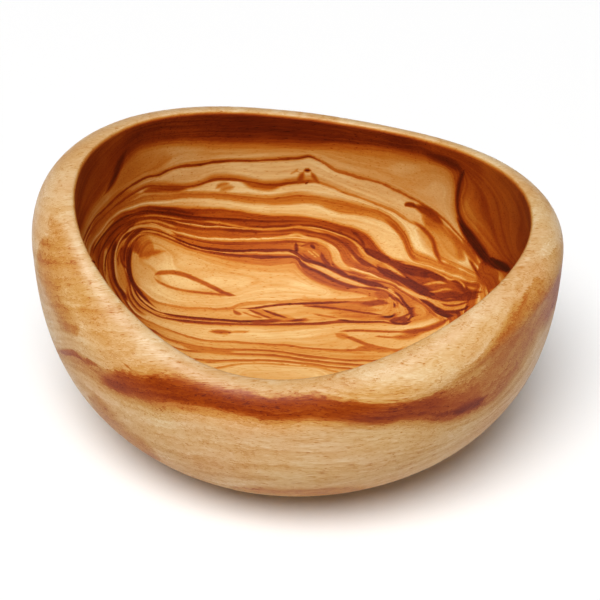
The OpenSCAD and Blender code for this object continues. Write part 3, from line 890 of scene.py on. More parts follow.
# Pale marks, where blond wood shows between dark layers
PALE_MARKS = (
    Brush(0.15, 0.4, (
        (128, 221), (140, 217), (152, 215.4), (165, 216.6), (180, 219), (196, 221)), 0.5, 0.4),
    Brush(0.2, 0.38, (
        (131, 226.5), (139, 222.8), (149, 221), (160, 222), (170, 225.5), (180, 229)), 0.45),
    Brush(0.32, 0.28, (
        (124, 235.5), (130, 230), (138, 226.6), (148, 225.6), (158, 227.4), (168, 231.5),
        (179, 236.5)), 0.52),
    Brush(0.2, 0.38, ((136, 234), (146, 231.2), (156, 232.2), (167, 236), (180, 241)), 0.45),
    Brush(1.3, 0.4, ((121, 262), (121, 272), (122.5, 282), (126.5, 293)), 1.5, 0.3),
    Brush(0.25, 0.36, (
        (131, 281), (132.5, 290), (137, 298), (143.5, 304.5), (151, 310), (161, 313.8),
        (172, 316.3)), 0.52),
    Brush(0.25, 0.38, (
        (92, 250.5), (96, 243), (101, 236), (106, 229), (111, 223), (117, 217)), 0.6),
    Brush(0.5, 0.44, ((104, 268), (107, 273), (108, 277)), 0.9, 0.4),
    Brush(0.25, 0.42, ((128, 237), (121.5, 244), (117.5, 253), (116.5, 262)), 0.6),
    Brush(0.2, 0.44, ((137, 236.5), (131, 242), (127.5, 248)), 0.6),
    Brush(0.2, 0.5, ((105, 265), (106.5, 256), (110, 247)), 0.6),
    Brush(0.22, 0.42, (
        (196, 220), (220, 223), (240, 226.5), (255, 229), (270, 229.5), (285, 228.5), (300, 226.5),
        (313, 230), (332, 235)), 0.52, 0.15),
    Brush(0.3, 0.28, (
        (268, 238.3), (285, 236.8), (298, 234.5), (307, 238), (320, 240.6), (331, 245.5)), 0.6),
    Brush(0.7, 0.28, ((328, 244), (334, 252), (336.5, 260), (343, 267), (354, 271.8)), 1.0, 0.4),
    Brush(0.3, 0.32, ((349, 249), (354, 257), (363, 266)), 0.8, 0.45),
    Brush(0.25, 0.44, ((356, 246), (362, 253.5), (370, 261), (379, 268.5)), 0.6, 0.25),
    Brush(0.35, 0.3, ((378, 259), (388, 266), (397, 272), (411, 281)), 0.9, 0.5),
    Brush(0.6, 0.28, (
        (299, 258), (308, 262.5), (318, 266.5), (330, 273), (342, 279), (355, 283.5), (368, 286.5),
        (378, 288)), 0.68, 0.35),
    Brush(0.2, 0.42, ((362, 276.7), (374, 278.5), (388, 281.5), (400, 286)), 0.45),
    Brush(0.4, 0.28, (
        (393, 283), (402, 288), (410, 292), (418, 296), (430, 300), (438, 306), (446, 309.5)), 0.6,
        0.3),
    Brush(0.28, 0.36, ((421, 285.3), (430, 283.5), (438, 282.3), (448, 284)), 0.6, 0.3),
    Brush(0.25, 0.38, ((427, 291.5), (436, 291.5), (445, 289), (455, 290)), 0.6, 0.3),
    Brush(0.2, 0.38, ((449, 303), (455, 302.4), (462, 301.4)), 0.45),
    Brush(0.35, 0.32, (
        (438, 305.5), (446, 308.4), (455, 308.4), (464, 305.5), (470, 302)), 0.52, 0.25),
    Brush(0.25, 0.34, ((442, 274.5), (449, 279), (457, 280.5), (463, 284.5), (466, 290)), 0.6),
    Brush(0.35, 0.44, ((464, 276), (468, 279), (474, 281)), 0.8, 0.4),
    Brush(0.25, 0.42, ((466, 286), (471, 288), (478, 288.5)), 0.6, 0.4),
    Brush(0.35, 0.34, ((387, 287.5), (391, 290.5), (396, 293)), 0.7, 0.4),
    Brush(0.2, 0.4, ((386, 299), (393, 300.5), (398, 306)), 0.45),
    Brush(1.0, 0.36, ((389, 310), (397, 310.5), (404, 311)), 1.35, 0.4),
    Brush(0.15, 0.3, ((307, 250), (312, 254), (317, 258)), 0.38),
    Brush(0.15, 0.34, ((312, 250.5), (317, 254.5), (320, 257)), 0.38),
    Brush(0.25, 0.26, ((237, 311), (245, 311.5), (252, 315), (260, 318)), 0.6, 0.4),
    Brush(1.0, 0.36, ((414, 304), (419, 310), (425, 317)), 2.0, 0.4),
    Brush(0.18, 0.36, (
        (396, 261.5), (408, 263.5), (422, 267), (434, 271), (444, 276), (450, 279.5)), 0.6))

# Thin dark marks: the knot under the back wall's peak, the eye, the chevrons and the burl, and the
# painted shade in a pit in the rim and in a notch in its inner edge
STROKES = (
    Brush(0.4, 0.85, ((302.5, 171.5), (307, 170.2), (312.5, 171)), 1.0, 0.4),
    Brush(0.18, 0.92, (
        (92, 262), (93.5, 252), (99, 241), (107, 231), (116, 222.5), (127, 216), (140, 212)), 0.45,
        0.25),
    Brush(0.16, 0.92, (
        (98, 272), (98.5, 261), (102, 249), (108.5, 238), (117, 228.5), (128, 221.5)), 0.45, 0.25),
    Brush(0.16, 0.92, (
        (106, 282), (105, 270), (106, 258), (110.5, 246.5), (117.5, 236), (126, 228)), 0.45, 0.25),
    Brush(0.16, 0.9, (
        (130, 213.5), (146, 211.2), (164, 213), (184, 215.5), (206, 217.6), (232, 219),
        (258, 220.4)), 0.4, 0.25),
    Brush(0.5, 0.85, ((305.5, 182), (306.5, 183), (307.5, 184.2)), 0.72, 0.4),
    Brush(0.15, 0.44, ((289, 174.5), (295, 171.5), (299, 168)), 0.73),
    Brush(0.4, 0.85, ((295.5, 241), (296.5, 248), (297, 255)), 0.73, 0.4),
    Brush(0.4, 0.82, (
        (297.5, 255), (302, 263), (308, 267.5), (316, 271), (324, 275), (333, 280), (343, 284),
        (354, 287), (365, 288.7)), 0.62),
    Brush(0.45, 0.84, (
        (298, 253.5), (304, 259), (312, 262), (321, 264.5), (331, 268), (341, 272), (351, 277)),
        0.52),
    Brush(0.45, 0.76, ((321, 251), (323, 258), (326, 262), (332, 266.5)), 0.62, 0.3),
    Brush(0.4, 0.84, ((309, 243.5), (313, 246.5), (315.5, 250)), 0.52, 0.4),
    Brush(0.2, 0.7, ((299, 247.5), (306, 244.5), (313, 243.3), (321, 246.5)), 0.42),
    Brush(0.25, 0.72, ((302, 253), (308, 258), (314, 260.5)), 0.52, 0.3),
    Brush(0.35, 0.82, ((349, 230), (358, 236), (363, 243), (366, 250)), 0.62, 0.3),
    Brush(0.45, 0.8, (
        (335, 237), (344, 242.5), (350, 249), (356, 256.5), (362, 262.5), (372, 268.5)), 0.62,
        0.3),
    Brush(0.3, 0.76, ((124, 244), (120.5, 254), (122, 262), (128, 270)), 0.52),
    Brush(0.55, 0.62, (
        (153, 276.5), (157, 273.8), (165, 272.5), (175, 272.6), (185, 275), (195, 279),
        (205, 283.5), (215, 288.3), (224, 293), (238, 296)), 0.62, 0.12),
    Brush(0.3, 0.54, (
        (153.5, 275), (155, 278.5), (158, 281.4), (165, 285), (175, 288.5), (185, 290.6),
        (200, 292.5), (215, 294), (230, 295.6)), 0.62, 0.12),
    Brush(0.3, 0.84, (
        (232, 308.8), (240, 308.2), (250, 308.4), (260, 307.4), (270, 305.8), (281, 304.6),
        (300, 303.6), (330, 302.6), (362, 301)), 0.5, 0.25),
    Brush(0.22, 0.56, ((241, 311.5), (252, 315.5), (264, 318.5)), 0.52),
    Brush(0.28, 0.72, ((248, 309), (255, 312), (263, 315.5), (272, 318.5)), 0.52),
    Brush(0.3, 0.82, ((260, 308.5), (270, 312.5), (280, 316), (290, 318.5)), 0.52, 0.3),
    Brush(0.25, 0.74, (
        (300, 306.2), (322, 307), (344, 309.6), (360, 312), (374, 314), (388, 316)), 0.42),
    Brush(0.25, 0.5, ((310, 313.3), (326, 316), (341, 318.6)), 0.52, 0.3),
    Brush(0.3, 0.76, ((333, 320), (342, 320), (352, 321.8), (366, 322), (379, 321)), 0.47, 0.3),
    Brush(0.25, 0.78, (
        (389, 296), (397, 299), (402, 304), (408, 308), (410, 312), (406, 315.5), (398, 317)),
        0.52),
    Brush(0.35, 0.86, ((388, 321), (397, 323.3), (405, 323.6), (413, 321)), 0.52, 0.3),
    Brush(0.22, 0.5, ((372, 336), (384, 336.8), (395, 338)), 0.42, 0.3),
    Brush(0.25, 0.46, ((320, 350), (334, 351.5), (350, 352.5), (369, 353.5)), 0.52),
    Brush(0.35, 0.46, ((228, 332), (240, 331.8), (252, 332)), 0.73, 0.4),
    Brush(0.2, 0.84, ((227.5, 332.5), (229.5, 332.8), (231.5, 333)), 0.42, 0.4),
    Brush(0.35, 0.8, ((449, 281), (456, 281.8), (461, 286), (464, 292)), 0.52, 0.3),
    Brush(0.3, 0.76, ((436, 299), (446, 300.5), (458, 299.5), (470, 299), (481, 297)), 0.42),
    Brush(0.25, 0.7, ((440, 303), (448, 305.5), (458, 304.8), (470, 301)), 0.42),
    Brush(0.3, 0.8, ((443, 311), (454, 311.5), (464, 309), (471, 305)), 0.42),
    Brush(1.5, 0.97, (
        (454, 213), (462, 226), (470, 237), (478, 248), (485, 257), (492, 264), (502, 269)), 1.8,
        0.4),
    Brush(0.3, 0.96, (
        (466, 167), (461, 178), (458.5, 190), (457.5, 203), (459, 214), (463, 223), (470, 232)),
        1.5, 0.15),
    Brush(1.1, 0.97, ((486, 258), (493, 262.5), (501, 266), (508, 268.5), (512, 270)), 0.7, 0.3),
    Brush(0.12, 0.5, ((121, 361), (128, 367), (139, 377)), 0.4, 0.3, Side.OUTSIDE),
    # A pit in the rim, painted dark as the shade in it
    Brush(0.25, 1.0, ((533.8, 236.6), (535, 237.4), (536.2, 238.2)), 0.4, 0.4, Side.OUTSIDE),
    # A notch in the inner edge, painted dark as the shade in it
    Brush(0.3, 0.9, ((90, 260.6), (93, 261.6), (96, 262.8)), 0.48, 0.4))


# The marks and how many sheets they take. The washes lie below the growth lines, and the others
# over them.
MARKS = {"wash": (WASHES, 4), "patch": (PATCHES, 6), "pale": (PALE_MARKS, 3),
         "stroke": (STROKES, 4)}


class SmoothField:
    """A smooth field through given values at given places in space, in millimetres."""

    SOFTNESS = 1.0
    BLOCK = 4000
    # The plane below the field has a constant and a slope along each axis
    PLANE_TERMS = 4

    def __init__(self, places: np.ndarray, values: np.ndarray, slack: float) -> None:
        """Solves for the field.

        Args:
            places: the places, one a row.
            values: the values there, one row a place and one column a quantity.
            slack: how far the field may miss a value, to stay smooth.
        """
        count = len(places)
        terms = count + self.PLANE_TERMS
        self.places = places
        self.middle = places.mean(0)
        kernel = np.sqrt(((places[:, None] - places[None]) ** 2).sum(-1) + self.SOFTNESS ** 2)
        plane = np.hstack([np.ones((count, 1)), places - self.middle])
        system = np.zeros((terms, terms))
        system[:count, :count] = kernel - slack * np.eye(count)
        system[:count, count:] = plane
        system[count:, :count] = plane.T
        given = np.vstack([values, np.zeros((self.PLANE_TERMS, values.shape[1]))])
        self.weights = np.linalg.solve(system, given)

    def at(self, where: np.ndarray) -> tuple[np.ndarray, np.ndarray]:
        """Evaluates the field.

        Args:
            where: the places to evaluate, one a row.

        Returns:
            The values, and the slope of the first quantity along x, y and z.
        """
        count = len(self.places)
        values, slopes = [], []
        for start in range(0, len(where), self.BLOCK):
            part = where[start:start + self.BLOCK]
            off = part[:, None] - self.places[None]
            far = np.sqrt((off ** 2).sum(-1) + self.SOFTNESS ** 2)
            plane = np.hstack([np.ones((len(part), 1)), part - self.middle])
            values.append(np.hstack([far, plane]) @ self.weights)
            pull = self.weights[:count, 0] / far
            slopes.append(np.einsum("ij,ijk->ik", pull, off) + self.weights[count + 1:, 0])
        return np.vstack(values), np.vstack(slopes)


class WoodFigure:
    """Lays the growth layers and marks over the bowl as attributes of its points."""

    # How far apart the points of a cast path are, in the units of its view
    LINE_STEP = 5.0
    MARK_STEP = 0.8
    # Growth lines: the least distance between their points, how far the field may miss one,
    # the widest a layer may lie on the surface, and the layer numbers of a step inside the first
    APART = 0.5
    SLACK = 0.12
    DEEPEST = 5.0
    INNER_STEP = 2.0
    # Where the rays of the two views without a camera start
    MOUTH_Z = 45.0
    OUTSIDE_R = 90.0
    # Beyond NEAR of a mark its distance is stretched by LIFT, so that two marks never meet
    # half way, and beyond CLEAR there is none. Marks that share a sheet lie ROOM apart.
    CLEAR = 6.0
    NEAR = 0.8
    LIFT = 4.0
    ROOM = 3.2

    def __init__(self, piece: bpy.types.Object, camera: ProductCamera) -> None:
        """Reads the bowl's points.

        Args:
            piece: the bowl.
            camera: the camera through which the photograph's pixels are read.
        """
        self.piece, self.camera = piece, camera
        mesh = piece.data
        count = len(mesh.vertices)
        self.points = np.empty(count * 3)
        mesh.vertices.foreach_get("co", self.points)
        self.points = self.points.reshape(-1, 3) / MM
        self.normals = np.empty(count * 3)
        mesh.vertices.foreach_get("normal", self.normals)
        self.normals = self.normals.reshape(-1, 3)
        self.station = np.empty(count)
        mesh.attributes["station"].data.foreach_get("value", self.station)

    def ray(self, view: View, across: float, up: float) -> tuple[Vector, Vector]:
        """Gives the ray that a path's point stands for.

        Args:
            view: where the path is seen from.
            across: the point's column, or its degrees round.
            up: the point's row, its degrees down or its height.

        Returns:
            Where the ray starts, in metres, and its direction.
        """
        if view is View.PHOTO:
            return self.camera.place() * MM, self.camera.ray(across, up)
        turn = math.radians(across)
        if view is View.MOUTH:
            down = math.radians(up)
            return Vector((0, 0, self.MOUTH_Z * MM)), Vector((
                math.cos(turn) * math.cos(down), math.sin(turn) * math.cos(down),
                -math.sin(down)))
        outward = Vector((math.cos(turn), math.sin(turn), 0))
        return outward * self.OUTSIDE_R * MM + Vector((0, 0, up * MM)), -outward

    @staticmethod
    def curve(ends: np.ndarray, step: float) -> np.ndarray:
        """Runs a smooth curve through a path's points.

        Args:
            ends: the points.
            step: how far apart the curve's own points are.

        Returns:
            The curve's points, one a row.
        """
        run = np.concatenate([[0], np.cumsum(np.hypot(*np.diff(ends, axis=0).T))])
        slope = np.gradient(ends, run, axis=0)
        marks = np.linspace(0, run[-1], max(2, round(run[-1] / step) + 1))
        at = np.clip(np.searchsorted(run, marks, side="right") - 1, 0, len(run) - 2)
        span = (run[at + 1] - run[at])[:, None]
        gone = (marks - run[at])[:, None] / span
        left = 1 - gone
        return (left ** 2 * ((1 + 2 * gone) * ends[at] + gone * span * slope[at])
                + gone ** 2 * ((1 + 2 * left) * ends[at + 1] - left * span * slope[at + 1]))

    def cast(self, path: Pairs, view: View, step: float, side: Side) -> np.ndarray:
        """Casts a path onto the bowl.

        Args:
            path: the path's points.
            view: where they are seen from.
            step: how far apart the cast points are, in the path's units.
            side: the side of the bowl on which the path lies.

        Returns:
            The points on the surface, in millimetres, without those that miss the side.
        """
        ends = np.array(path, float)
        if view is not View.PHOTO:
            ends[:, 0] = np.degrees(np.unwrap(np.radians(ends[:, 0])))
        first, last = side.value
        found = []
        for across, up in self.curve(ends, step):
            hit, place, _, face = self.piece.ray_cast(*self.ray(view, across, up))
            if not hit:
                continue
            at = np.mean([self.station[i] for i in self.piece.data.polygons[face].vertices])
            if first.value <= at <= last.value + 1:
                found.append(np.array(place) / MM)
        return np.array(found).reshape(-1, 3)

    def store(self, name: str, values: np.ndarray) -> None:
        """Keeps one number for each point of the bowl, under the given name."""
        layer = self.piece.data.attributes.new(name, "FLOAT", "POINT")
        layer.data.foreach_set("value", np.ascontiguousarray(values, dtype=np.float32))

    def store_vectors(self, name: str, values: np.ndarray) -> None:
        """Keeps one vector for each point of the bowl, under the given name."""
        layer = self.piece.data.attributes.new(name, "FLOAT_VECTOR", "POINT")
        layer.data.foreach_set("vector", np.ascontiguousarray(values, dtype=np.float32).ravel())

    def layers(self, lines: tuple[GrowthLine, ...],
               side: Side) -> tuple[np.ndarray, np.ndarray, np.ndarray]:
        """Numbers the layers over the whole bowl from the lines cast onto it.

        Args:
            lines: the growth lines.
            side: the side of the bowl on which they lie.

        Returns:
            The layer's number, its ink and wash as columns, and the millimetres a layer.
        """
        places, values = [], []
        for line in lines:
            found = self.cast(line.path, line.view, self.LINE_STEP, side)
            places.append(found)
            values.append(np.tile([line.layer, line.ink, line.wash], (len(found), 1)))
        places, values = np.vstack(places), np.vstack(values)
        _, keep = np.unique(np.round(places / self.APART), axis=0, return_index=True)
        numbers, slope = SmoothField(places[keep], values[keep], self.SLACK).at(self.points)
        slope -= (slope * self.normals).sum(1, keepdims=True) * self.normals
        spacing = 1 / np.maximum(np.linalg.norm(slope, axis=1), 1 / self.DEEPEST)
        LOG.info("%s: layers from %d points", side.name.lower(), len(keep))
        return numbers[:, 0], np.clip(numbers[:, 1:], 0, 1), spacing

    def deal(self, brushes: tuple[Brush, ...], sheets: int) -> list:
        """Deals marks out to sheets, so that those of one sheet keep clear of each other.

        Args:
            brushes: the marks.
            sheets: how many sheets there are.

        Returns:
            One list a sheet, of pairs of a mark and its points on the bowl.
        """
        dealt = [[] for _ in range(sheets)]
        tightest = self.ROOM
        for brush in brushes:
            path = self.cast(brush.path, View.PHOTO, self.MARK_STEP, brush.side)
            if len(path) < 2:
                LOG.warning("the mark at %s misses the bowl", brush.path[0])
                continue
            rooms = []
            for sheet in dealt:
                gaps = [np.linalg.norm(path[:, None] - other[None], axis=-1).min()
                        - brush.half_width - mark.half_width for mark, other in sheet]
                rooms.append(min([self.ROOM, *gaps]))
            tightest = min(tightest, max(rooms))
            dealt[int(np.argmax(rooms))].append((brush, path))
        LOG.info("%d marks on %d sheets, %.1f mm apart or more", len(brushes), sheets, tightest)
        return dealt

    def draw(self, name: str, marks: list) -> None:
        """Keeps on each point of the bowl how far, and which way, the nearest mark lies.

        The way is kept as a vector, because it runs evenly from one point to the next also
        across the mark, so a thin mark stays crisp between the points.

        Args:
            name: the first word of the attributes' names.
            marks: pairs of a mark and its points on the bowl.
        """
        count = len(self.points)
        best = np.full(count, self.CLEAR)
        way = np.zeros((count, 3))
        shape = np.zeros((count, 3))
        for brush, path in marks:
            reach = brush.half_width + self.CLEAR
            low, high = path.min(0) - reach, path.max(0) + reach
            near = np.nonzero(((self.points > low) & (self.points < high)).all(1))[0]
            run = np.diff(path, axis=0)
            off = self.points[near, None] - path[None, :-1]
            share = np.clip((off * run).sum(-1) / (run ** 2).sum(-1), 0, 1)
            away = off - share[..., None] * run
            far = np.linalg.norm(away, axis=-1)
            piece = far.argmin(1)
            rows = np.arange(len(near))
            along = (piece + share[rows, piece]) / len(run)
            full = np.clip(np.minimum(along, 1 - along) / brush.taper, 0, 1)
            full = np.sin(full * np.pi / 2)
            half = brush.half_width * full - brush.SPREAD * brush.blur * (1 - full)
            edge = far[rows, piece] - half
            closer = edge < best[near]
            chosen = near[closer]
            best[chosen] = edge[closer]
            way[chosen] = away[rows, piece][closer]
            shape[chosen] = np.stack([half[closer], np.full(closer.sum(), brush.blur),
                                      np.full(closer.sum(), brush.tone)], 1)
        self.store_vectors(name + "_way", way)
        self.store_vectors(name + "_shape", shape)
        self.store(name + "_far", np.maximum(best - self.NEAR, 0) * self.LIFT)

    def lay(self) -> None:
        """Works out every attribute that the material reads and keeps it on the bowl."""
        number, gains, spacing = self.layers(HOLLOW_LINES + HIDDEN_LINES, Side.HOLLOW)
        edges = np.array(BOUNDARIES)
        steps = np.arange(len(edges), dtype=float)
        beyond = edges[-1] - edges[-2]
        counted = np.interp(number, edges, steps)
        counted = np.where(number < edges[0], (number - edges[0]) / self.INNER_STEP, counted)
        counted = np.where(number > edges[-1], steps[-1] + (number - edges[-1]) / beyond, counted)
        within = np.clip(np.searchsorted(edges, number), 1, len(edges) - 1)
        width = np.where(number < 0, self.INNER_STEP, edges[within] - edges[within - 1])
        self.store("layer", counted)
        self.store("layer_mm", spacing * width)
        self.store("ink", gains[:, 0])
        self.store("wash", gains[:, 1])
        outer, outer_gains, outer_mm = self.layers(OUTER_LINES, Side.OUTSIDE)
        self.store("outer_layer", outer)
        self.store("outer_layer_mm", outer_mm)
        self.store("outer_wash", outer_gains[:, 1])
        for name, (brushes, sheets) in MARKS.items():
            for i, marks in enumerate(self.deal(brushes, sheets)):
                self.draw(f"{name}{i}", marks)


@dataclass(frozen=True)
class OiledOliveWood:
    """Olive wood, turned, sanded and oiled: a hard, close wood with a satin, almost waxy sheen.

    The blond early wood is layered with red-brown bands and thin, nearly black lines of late
    wood, and short dark pores run along the fibres. Sizes are in millimetres.
    """

    # From the palest early wood to the darkest late wood, each with its tone. The outside has
    # been handled and sanded more, and is duller.
    hollow_shades: tuple[tuple[float, str], ...] = (
        (0.0, "#f6deaa"), (0.1, "#efcd8c"), (0.2, "#e2b26c"), (0.3, "#d89b4b"),
        (0.42, "#cd802a"), (0.55, "#b95d15"), (0.7, "#993c0a"), (0.85, "#6f2106"),
        (1.0, "#3f1104"))
    outer_shades: tuple[tuple[float, str], ...] = (
        (0.0, "#ead3aa"), (0.1, "#e1c293"), (0.2, "#d8ae76"), (0.35, "#c79046"),
        (0.5, "#b26322"), (0.65, "#9b4208"), (0.8, "#7d2903"), (1.0, "#4a1408"))
    # Tone of each growth layer, by the number of its boundary, and of wood without a layer
    # In the hollow, the middle below the first boundary is toned darker than its blond wood, as
    # painted shade where the floor catches the most light. The pale layers of the walls are toned
    # paler than their wood, as painted light where the walls catch less.
    hollow_tones: Pairs = (
        (-2, 0.4), (-0.06, 0.385), (0, 0.55), (1, 0.5), (1.5, 0.32), (1.96, 0.48), (2, 0.66),
        (2.96, 0.66), (3, 0.22), (3.96, 0.18), (4, 0.66), (4.96, 0.64), (5, 0.68), (5.5, 0.26),
        (5.96, 0.68), (6, 0.66), (7, 0.68), (7.96, 0.74), (8, 0.2), (8.96, 0.1), (9, 0.5),
        (9.96, 0.58), (10, 0.07), (10.96, 0.04), (11, 0.12), (11.96, 0.04), (12, 0.2),
        # The dark band below the rim: partly dark wood, partly painted shade under the rim
        (12.8, 0.29), (13.4, 0.54), (14, 0.78), (14.7, 0.83), (16, 0.83))
    hollow_span: tuple[float, float] = (-2.0, 16.0)
    # On the outside, the top of the rim, at the lowest numbers, is toned a little darker than its
    # cream wood, as painted shade where it catches the most light
    outer_tones: Pairs = (
        (-4, 0.14), (-1.5, 0.16), (-0.6, 0.18), (-0.2, 0.26), (-0.04, 0.42), (0.15, 0.64),
        (0.4, 0.7), (0.8, 0.72), (0.95, 0.6), (1.05, 0.42), (1.3, 0.27), (1.7, 0.2), (4, 0.24))
    outer_span: tuple[float, float] = (-4.0, 4.0)
    plain_tone: float = 0.2
    # The thin line of late wood along a boundary, which swells and thins
    line_mm: float = 0.22
    line_swell: float = 0.6
    line_blur_mm: float = 0.5
    line_tone: float = 0.86
    # The wood stays darker beside a line, more on the side away from the middle
    outward_mm: float = 2.8
    outward_tone: float = 0.62
    inward_mm: float = 1.5
    inward_tone: float = 0.5
    # How far boundaries wander, and how far the shorter shiver goes. Outside they wander more,
    # and fray along the fibres.
    wander_mm: float = 0.3
    shiver_mm: float = 0.075
    fray_mm: float = 0.35
    outer_wander: float = 1.2
    # How much the streaks along the layers change the tone of pale wood, and less on dark wood
    streak_depth: float = 0.095
    streak_loss: float = 0.02
    # How far a streak runs on before the next layer has its own, inside and outside
    streak_rise: float = 10.0
    outer_streak_rise: float = 4.0
    # How much the fibres, the clouds and the outside's flecks change the tone
    fibre_depth: float = 0.035
    cloud_depth: float = 0.06
    fleck_depth: float = 0.05
    grain_share: float = 1.8
    dash_share: float = 0.9
    mottle_share: float = 0.6
    # Pores darken the wood. Only the strongest parts of their patterns are open.
    pore_tone: float = 0.35
    pore_limit: float = 0.5
    dash_limit: float = 0.45
    dash_open: float = 0.8
    # Where the sun and handling have reddened the outside: the cast, and how much of it
    ruddy_cast: str = "#fbe9e4"
    ruddy_mean: float = 0.25
    ruddy_swing: float = 0.4
    # The inner edge of the rim, along which the outside's figure gives way to the hollow's
    inside_from: float = 4.3
    inside_to: float = 4.9
    # The oil's sheen. It is duller in the hollow, which hands polish less, and in the pores.
    roughness: float = 0.38
    hollow_dullness: float = 0.22
    polish_swing: float = 0.04
    pore_roughness: float = 0.4
    sheen: float = 0.2
    ior: float = 1.45
    relief: float = 0.25
    relief_mm: float = 0.06
    fibre_relief: float = 0.3

    # The solid patterns that read the place alone: the size of a patch along x, y and z, how
    # many finer layers it has, and its start. Fibres and pores lie along x, as in the block, and
    # are drawn a few times as wide as real ones, which would be too fine to show.
    PATTERNS = {
        "slow": ((9, 6, 6), 1.0, (0, 0, 0)), "quick": ((2.2, 1.3, 1.3), 2.0, (5, 0, 0)),
        "swell": ((7, 5, 5), 2.0, (0, 9, 0)), "cloud": ((18, 12, 12), 3.0, (0, 0, 7)),
        "fibre": ((7, 0.5, 0.35), 3.0, (0, 3, 0)), "mottle": ((3.2, 1.6, 0.8), 3.0, (4, 3, 1)),
        "flush": ((20, 14, 12), 3.0, (3, 1, 5)), "pore": ((1.8, 0.3, 0.22), 1.0, (7, 3, 0))}
    # Those that follow the layers, the first in the hollow and the others outside, where the
    # grain and the dashes of its pores are drawn coarser for the same reason
    LAYERED = {"streak": ((22, 22, 2.0), 5.0, (0, 3, 0))}
    OUTER_LAYERED = {
        "outer_streak": ((26, 26, 0.9), 5.0, (0, 3, 0)), "grain": ((13, 13, 0.16), 3.0, (1, 3, 8)),
        "dash": ((2.4, 2.4, 0.075), 1.0, (6, 3, 8))}
    # The values of a noise that count as its lowest and its highest
    NOISE_SPAN = (0.25, 0.75)

    def pattern(self, tree: NodeTree, place: NodeSocket, size: tuple[float, float, float],
                detail: float, start: tuple[float, float, float]) -> NodeSocket:
        """Adds a solid pattern whose patches have the given size.

        Args:
            tree: the material's tree.
            place: the place that the pattern reads, in millimetres.
            size: the size of a patch along x, y and z, in millimetres.
            detail: how many finer layers the pattern has.
            start: where the pattern starts, which sets it apart from others.

        Returns:
            The pattern's strength, mostly from -1 to 1.
        """
        scaled = add_node(tree, "ShaderNodeVectorMath",
                          {0: place, 1: tuple(1 / s for s in size), 2: start},
                          operation="MULTIPLY_ADD").outputs[0]
        noise = add_node(tree, "ShaderNodeTexNoise",
                         {"Vector": scaled, "Scale": 1.0, "Detail": detail}).outputs[0]
        low, high = self.NOISE_SPAN
        return add_node(tree, "ShaderNodeMapRange",
                        {0: noise, 1: low, 2: high, 3: -1.0, 4: 1.0}, clamp=False).outputs[0]

    def tones(self, tree: NodeTree, number: NodeSocket, span: tuple[float, float],
              stops: Pairs) -> NodeSocket:
        """Gives each growth layer its tone.

        Args:
            tree: the material's tree.
            number: the layer's number.
            span: the lowest and highest number.
            stops: pairs of number and tone.

        Returns:
            The tone.
        """
        share = add_node(tree, "ShaderNodeMapRange", {0: number, 1: span[0], 2: span[1]}).outputs[0]
        ramp = add_node(tree, "ShaderNodeValToRGB", {0: share})
        self.fill(ramp, [((at - span[0]) / (span[1] - span[0]), (tone, tone, tone, 1.0))
                         for at, tone in stops])
        return ramp.outputs[0]

    @staticmethod
    def fill(ramp: bpy.types.Node, stops: list) -> None:
        """Fills a ramp with its stops.

        Args:
            ramp: the Color Ramp node.
            stops: pairs of position and colour.
        """
        steps = ramp.color_ramp.elements
        for i, (at, colour) in enumerate(stops):
            step = steps[i] if i < 2 else steps.new(at)
            step.position, step.color = at, colour

    def mark(self, tree: NodeTree, name: str, ragged: NodeSocket,
             under: NodeSocket) -> NodeSocket:
        """Lays one sheet of marks over a tone.

        Args:
            tree: the material's tree.
            name: the sheet's name, which starts the names of its attributes.
            ragged: how far the marks' borders wander, in millimetres.
            under: the tone without the marks.

        Returns:
            The tone with the marks.
        """
        read = {word: add_node(tree, "ShaderNodeAttribute", attribute_name=f"{name}_{word}")
                for word in ("way", "shape", "far")}
        shape = add_node(tree, "ShaderNodeSeparateXYZ",
                         {0: read["shape"].outputs["Vector"]}).outputs
        known = {"far": read["far"].outputs["Fac"], "half": shape[0], "blur": shape[1],
                 "tone": shape[2], "ragged": ragged, "under": under,
                 "off": add_node(tree, "ShaderNodeVectorMath", {0: read["way"].outputs["Vector"]},
                                 operation="LENGTH").outputs["Value"]}
        work_out(tree, known, (
            ("off_squared", "MULTIPLY", "off", "off"),
            ("squared", "MULTIPLY_ADD", "far", "far", "off_squared"),
            ("away", "SQRT", "squared"), ("moved", "ADD", "away", "ragged"),
            ("outer", "MULTIPLY_ADD", "blur", Brush.SPREAD, "half"),
            ("lower", "MULTIPLY_ADD", "blur", Brush.SPREAD - 1, "half")))
        known["cover"] = self.fade(tree, known["moved"], known["lower"], known["outer"])
        work_out(tree, known, (("change", "SUBTRACT", "tone", "under"),
                               ("laid", "MULTIPLY_ADD", "change", "cover", "under")))
        return known["laid"]

    def lay_sheets(self, tree: NodeTree, known: dict, names: tuple[str, ...]) -> None:
        """Lays every sheet of the named marks over the tone that is known as marked.

        Args:
            tree: the material's tree.
            known: the sockets known so far, by name.
            names: the names of the marks, from the lowest up.
        """
        for name in names:
            for i in range(MARKS[name][1]):
                known["marked"] = self.mark(tree, f"{name}{i}", known["shiver"], known["marked"])

    @staticmethod
    def fade(tree: NodeTree, distance: NodeSocket, near: NodeSocket | float,
             far: NodeSocket | float) -> NodeSocket:
        """Fades from 1 to 0 as a distance grows from near to far. Returns the strength."""
        return add_node(tree, "ShaderNodeMapRange", {0: distance, 1: far, 2: near, 3: 0.0, 4: 1.0},
                        interpolation_type="SMOOTHSTEP").outputs[0]

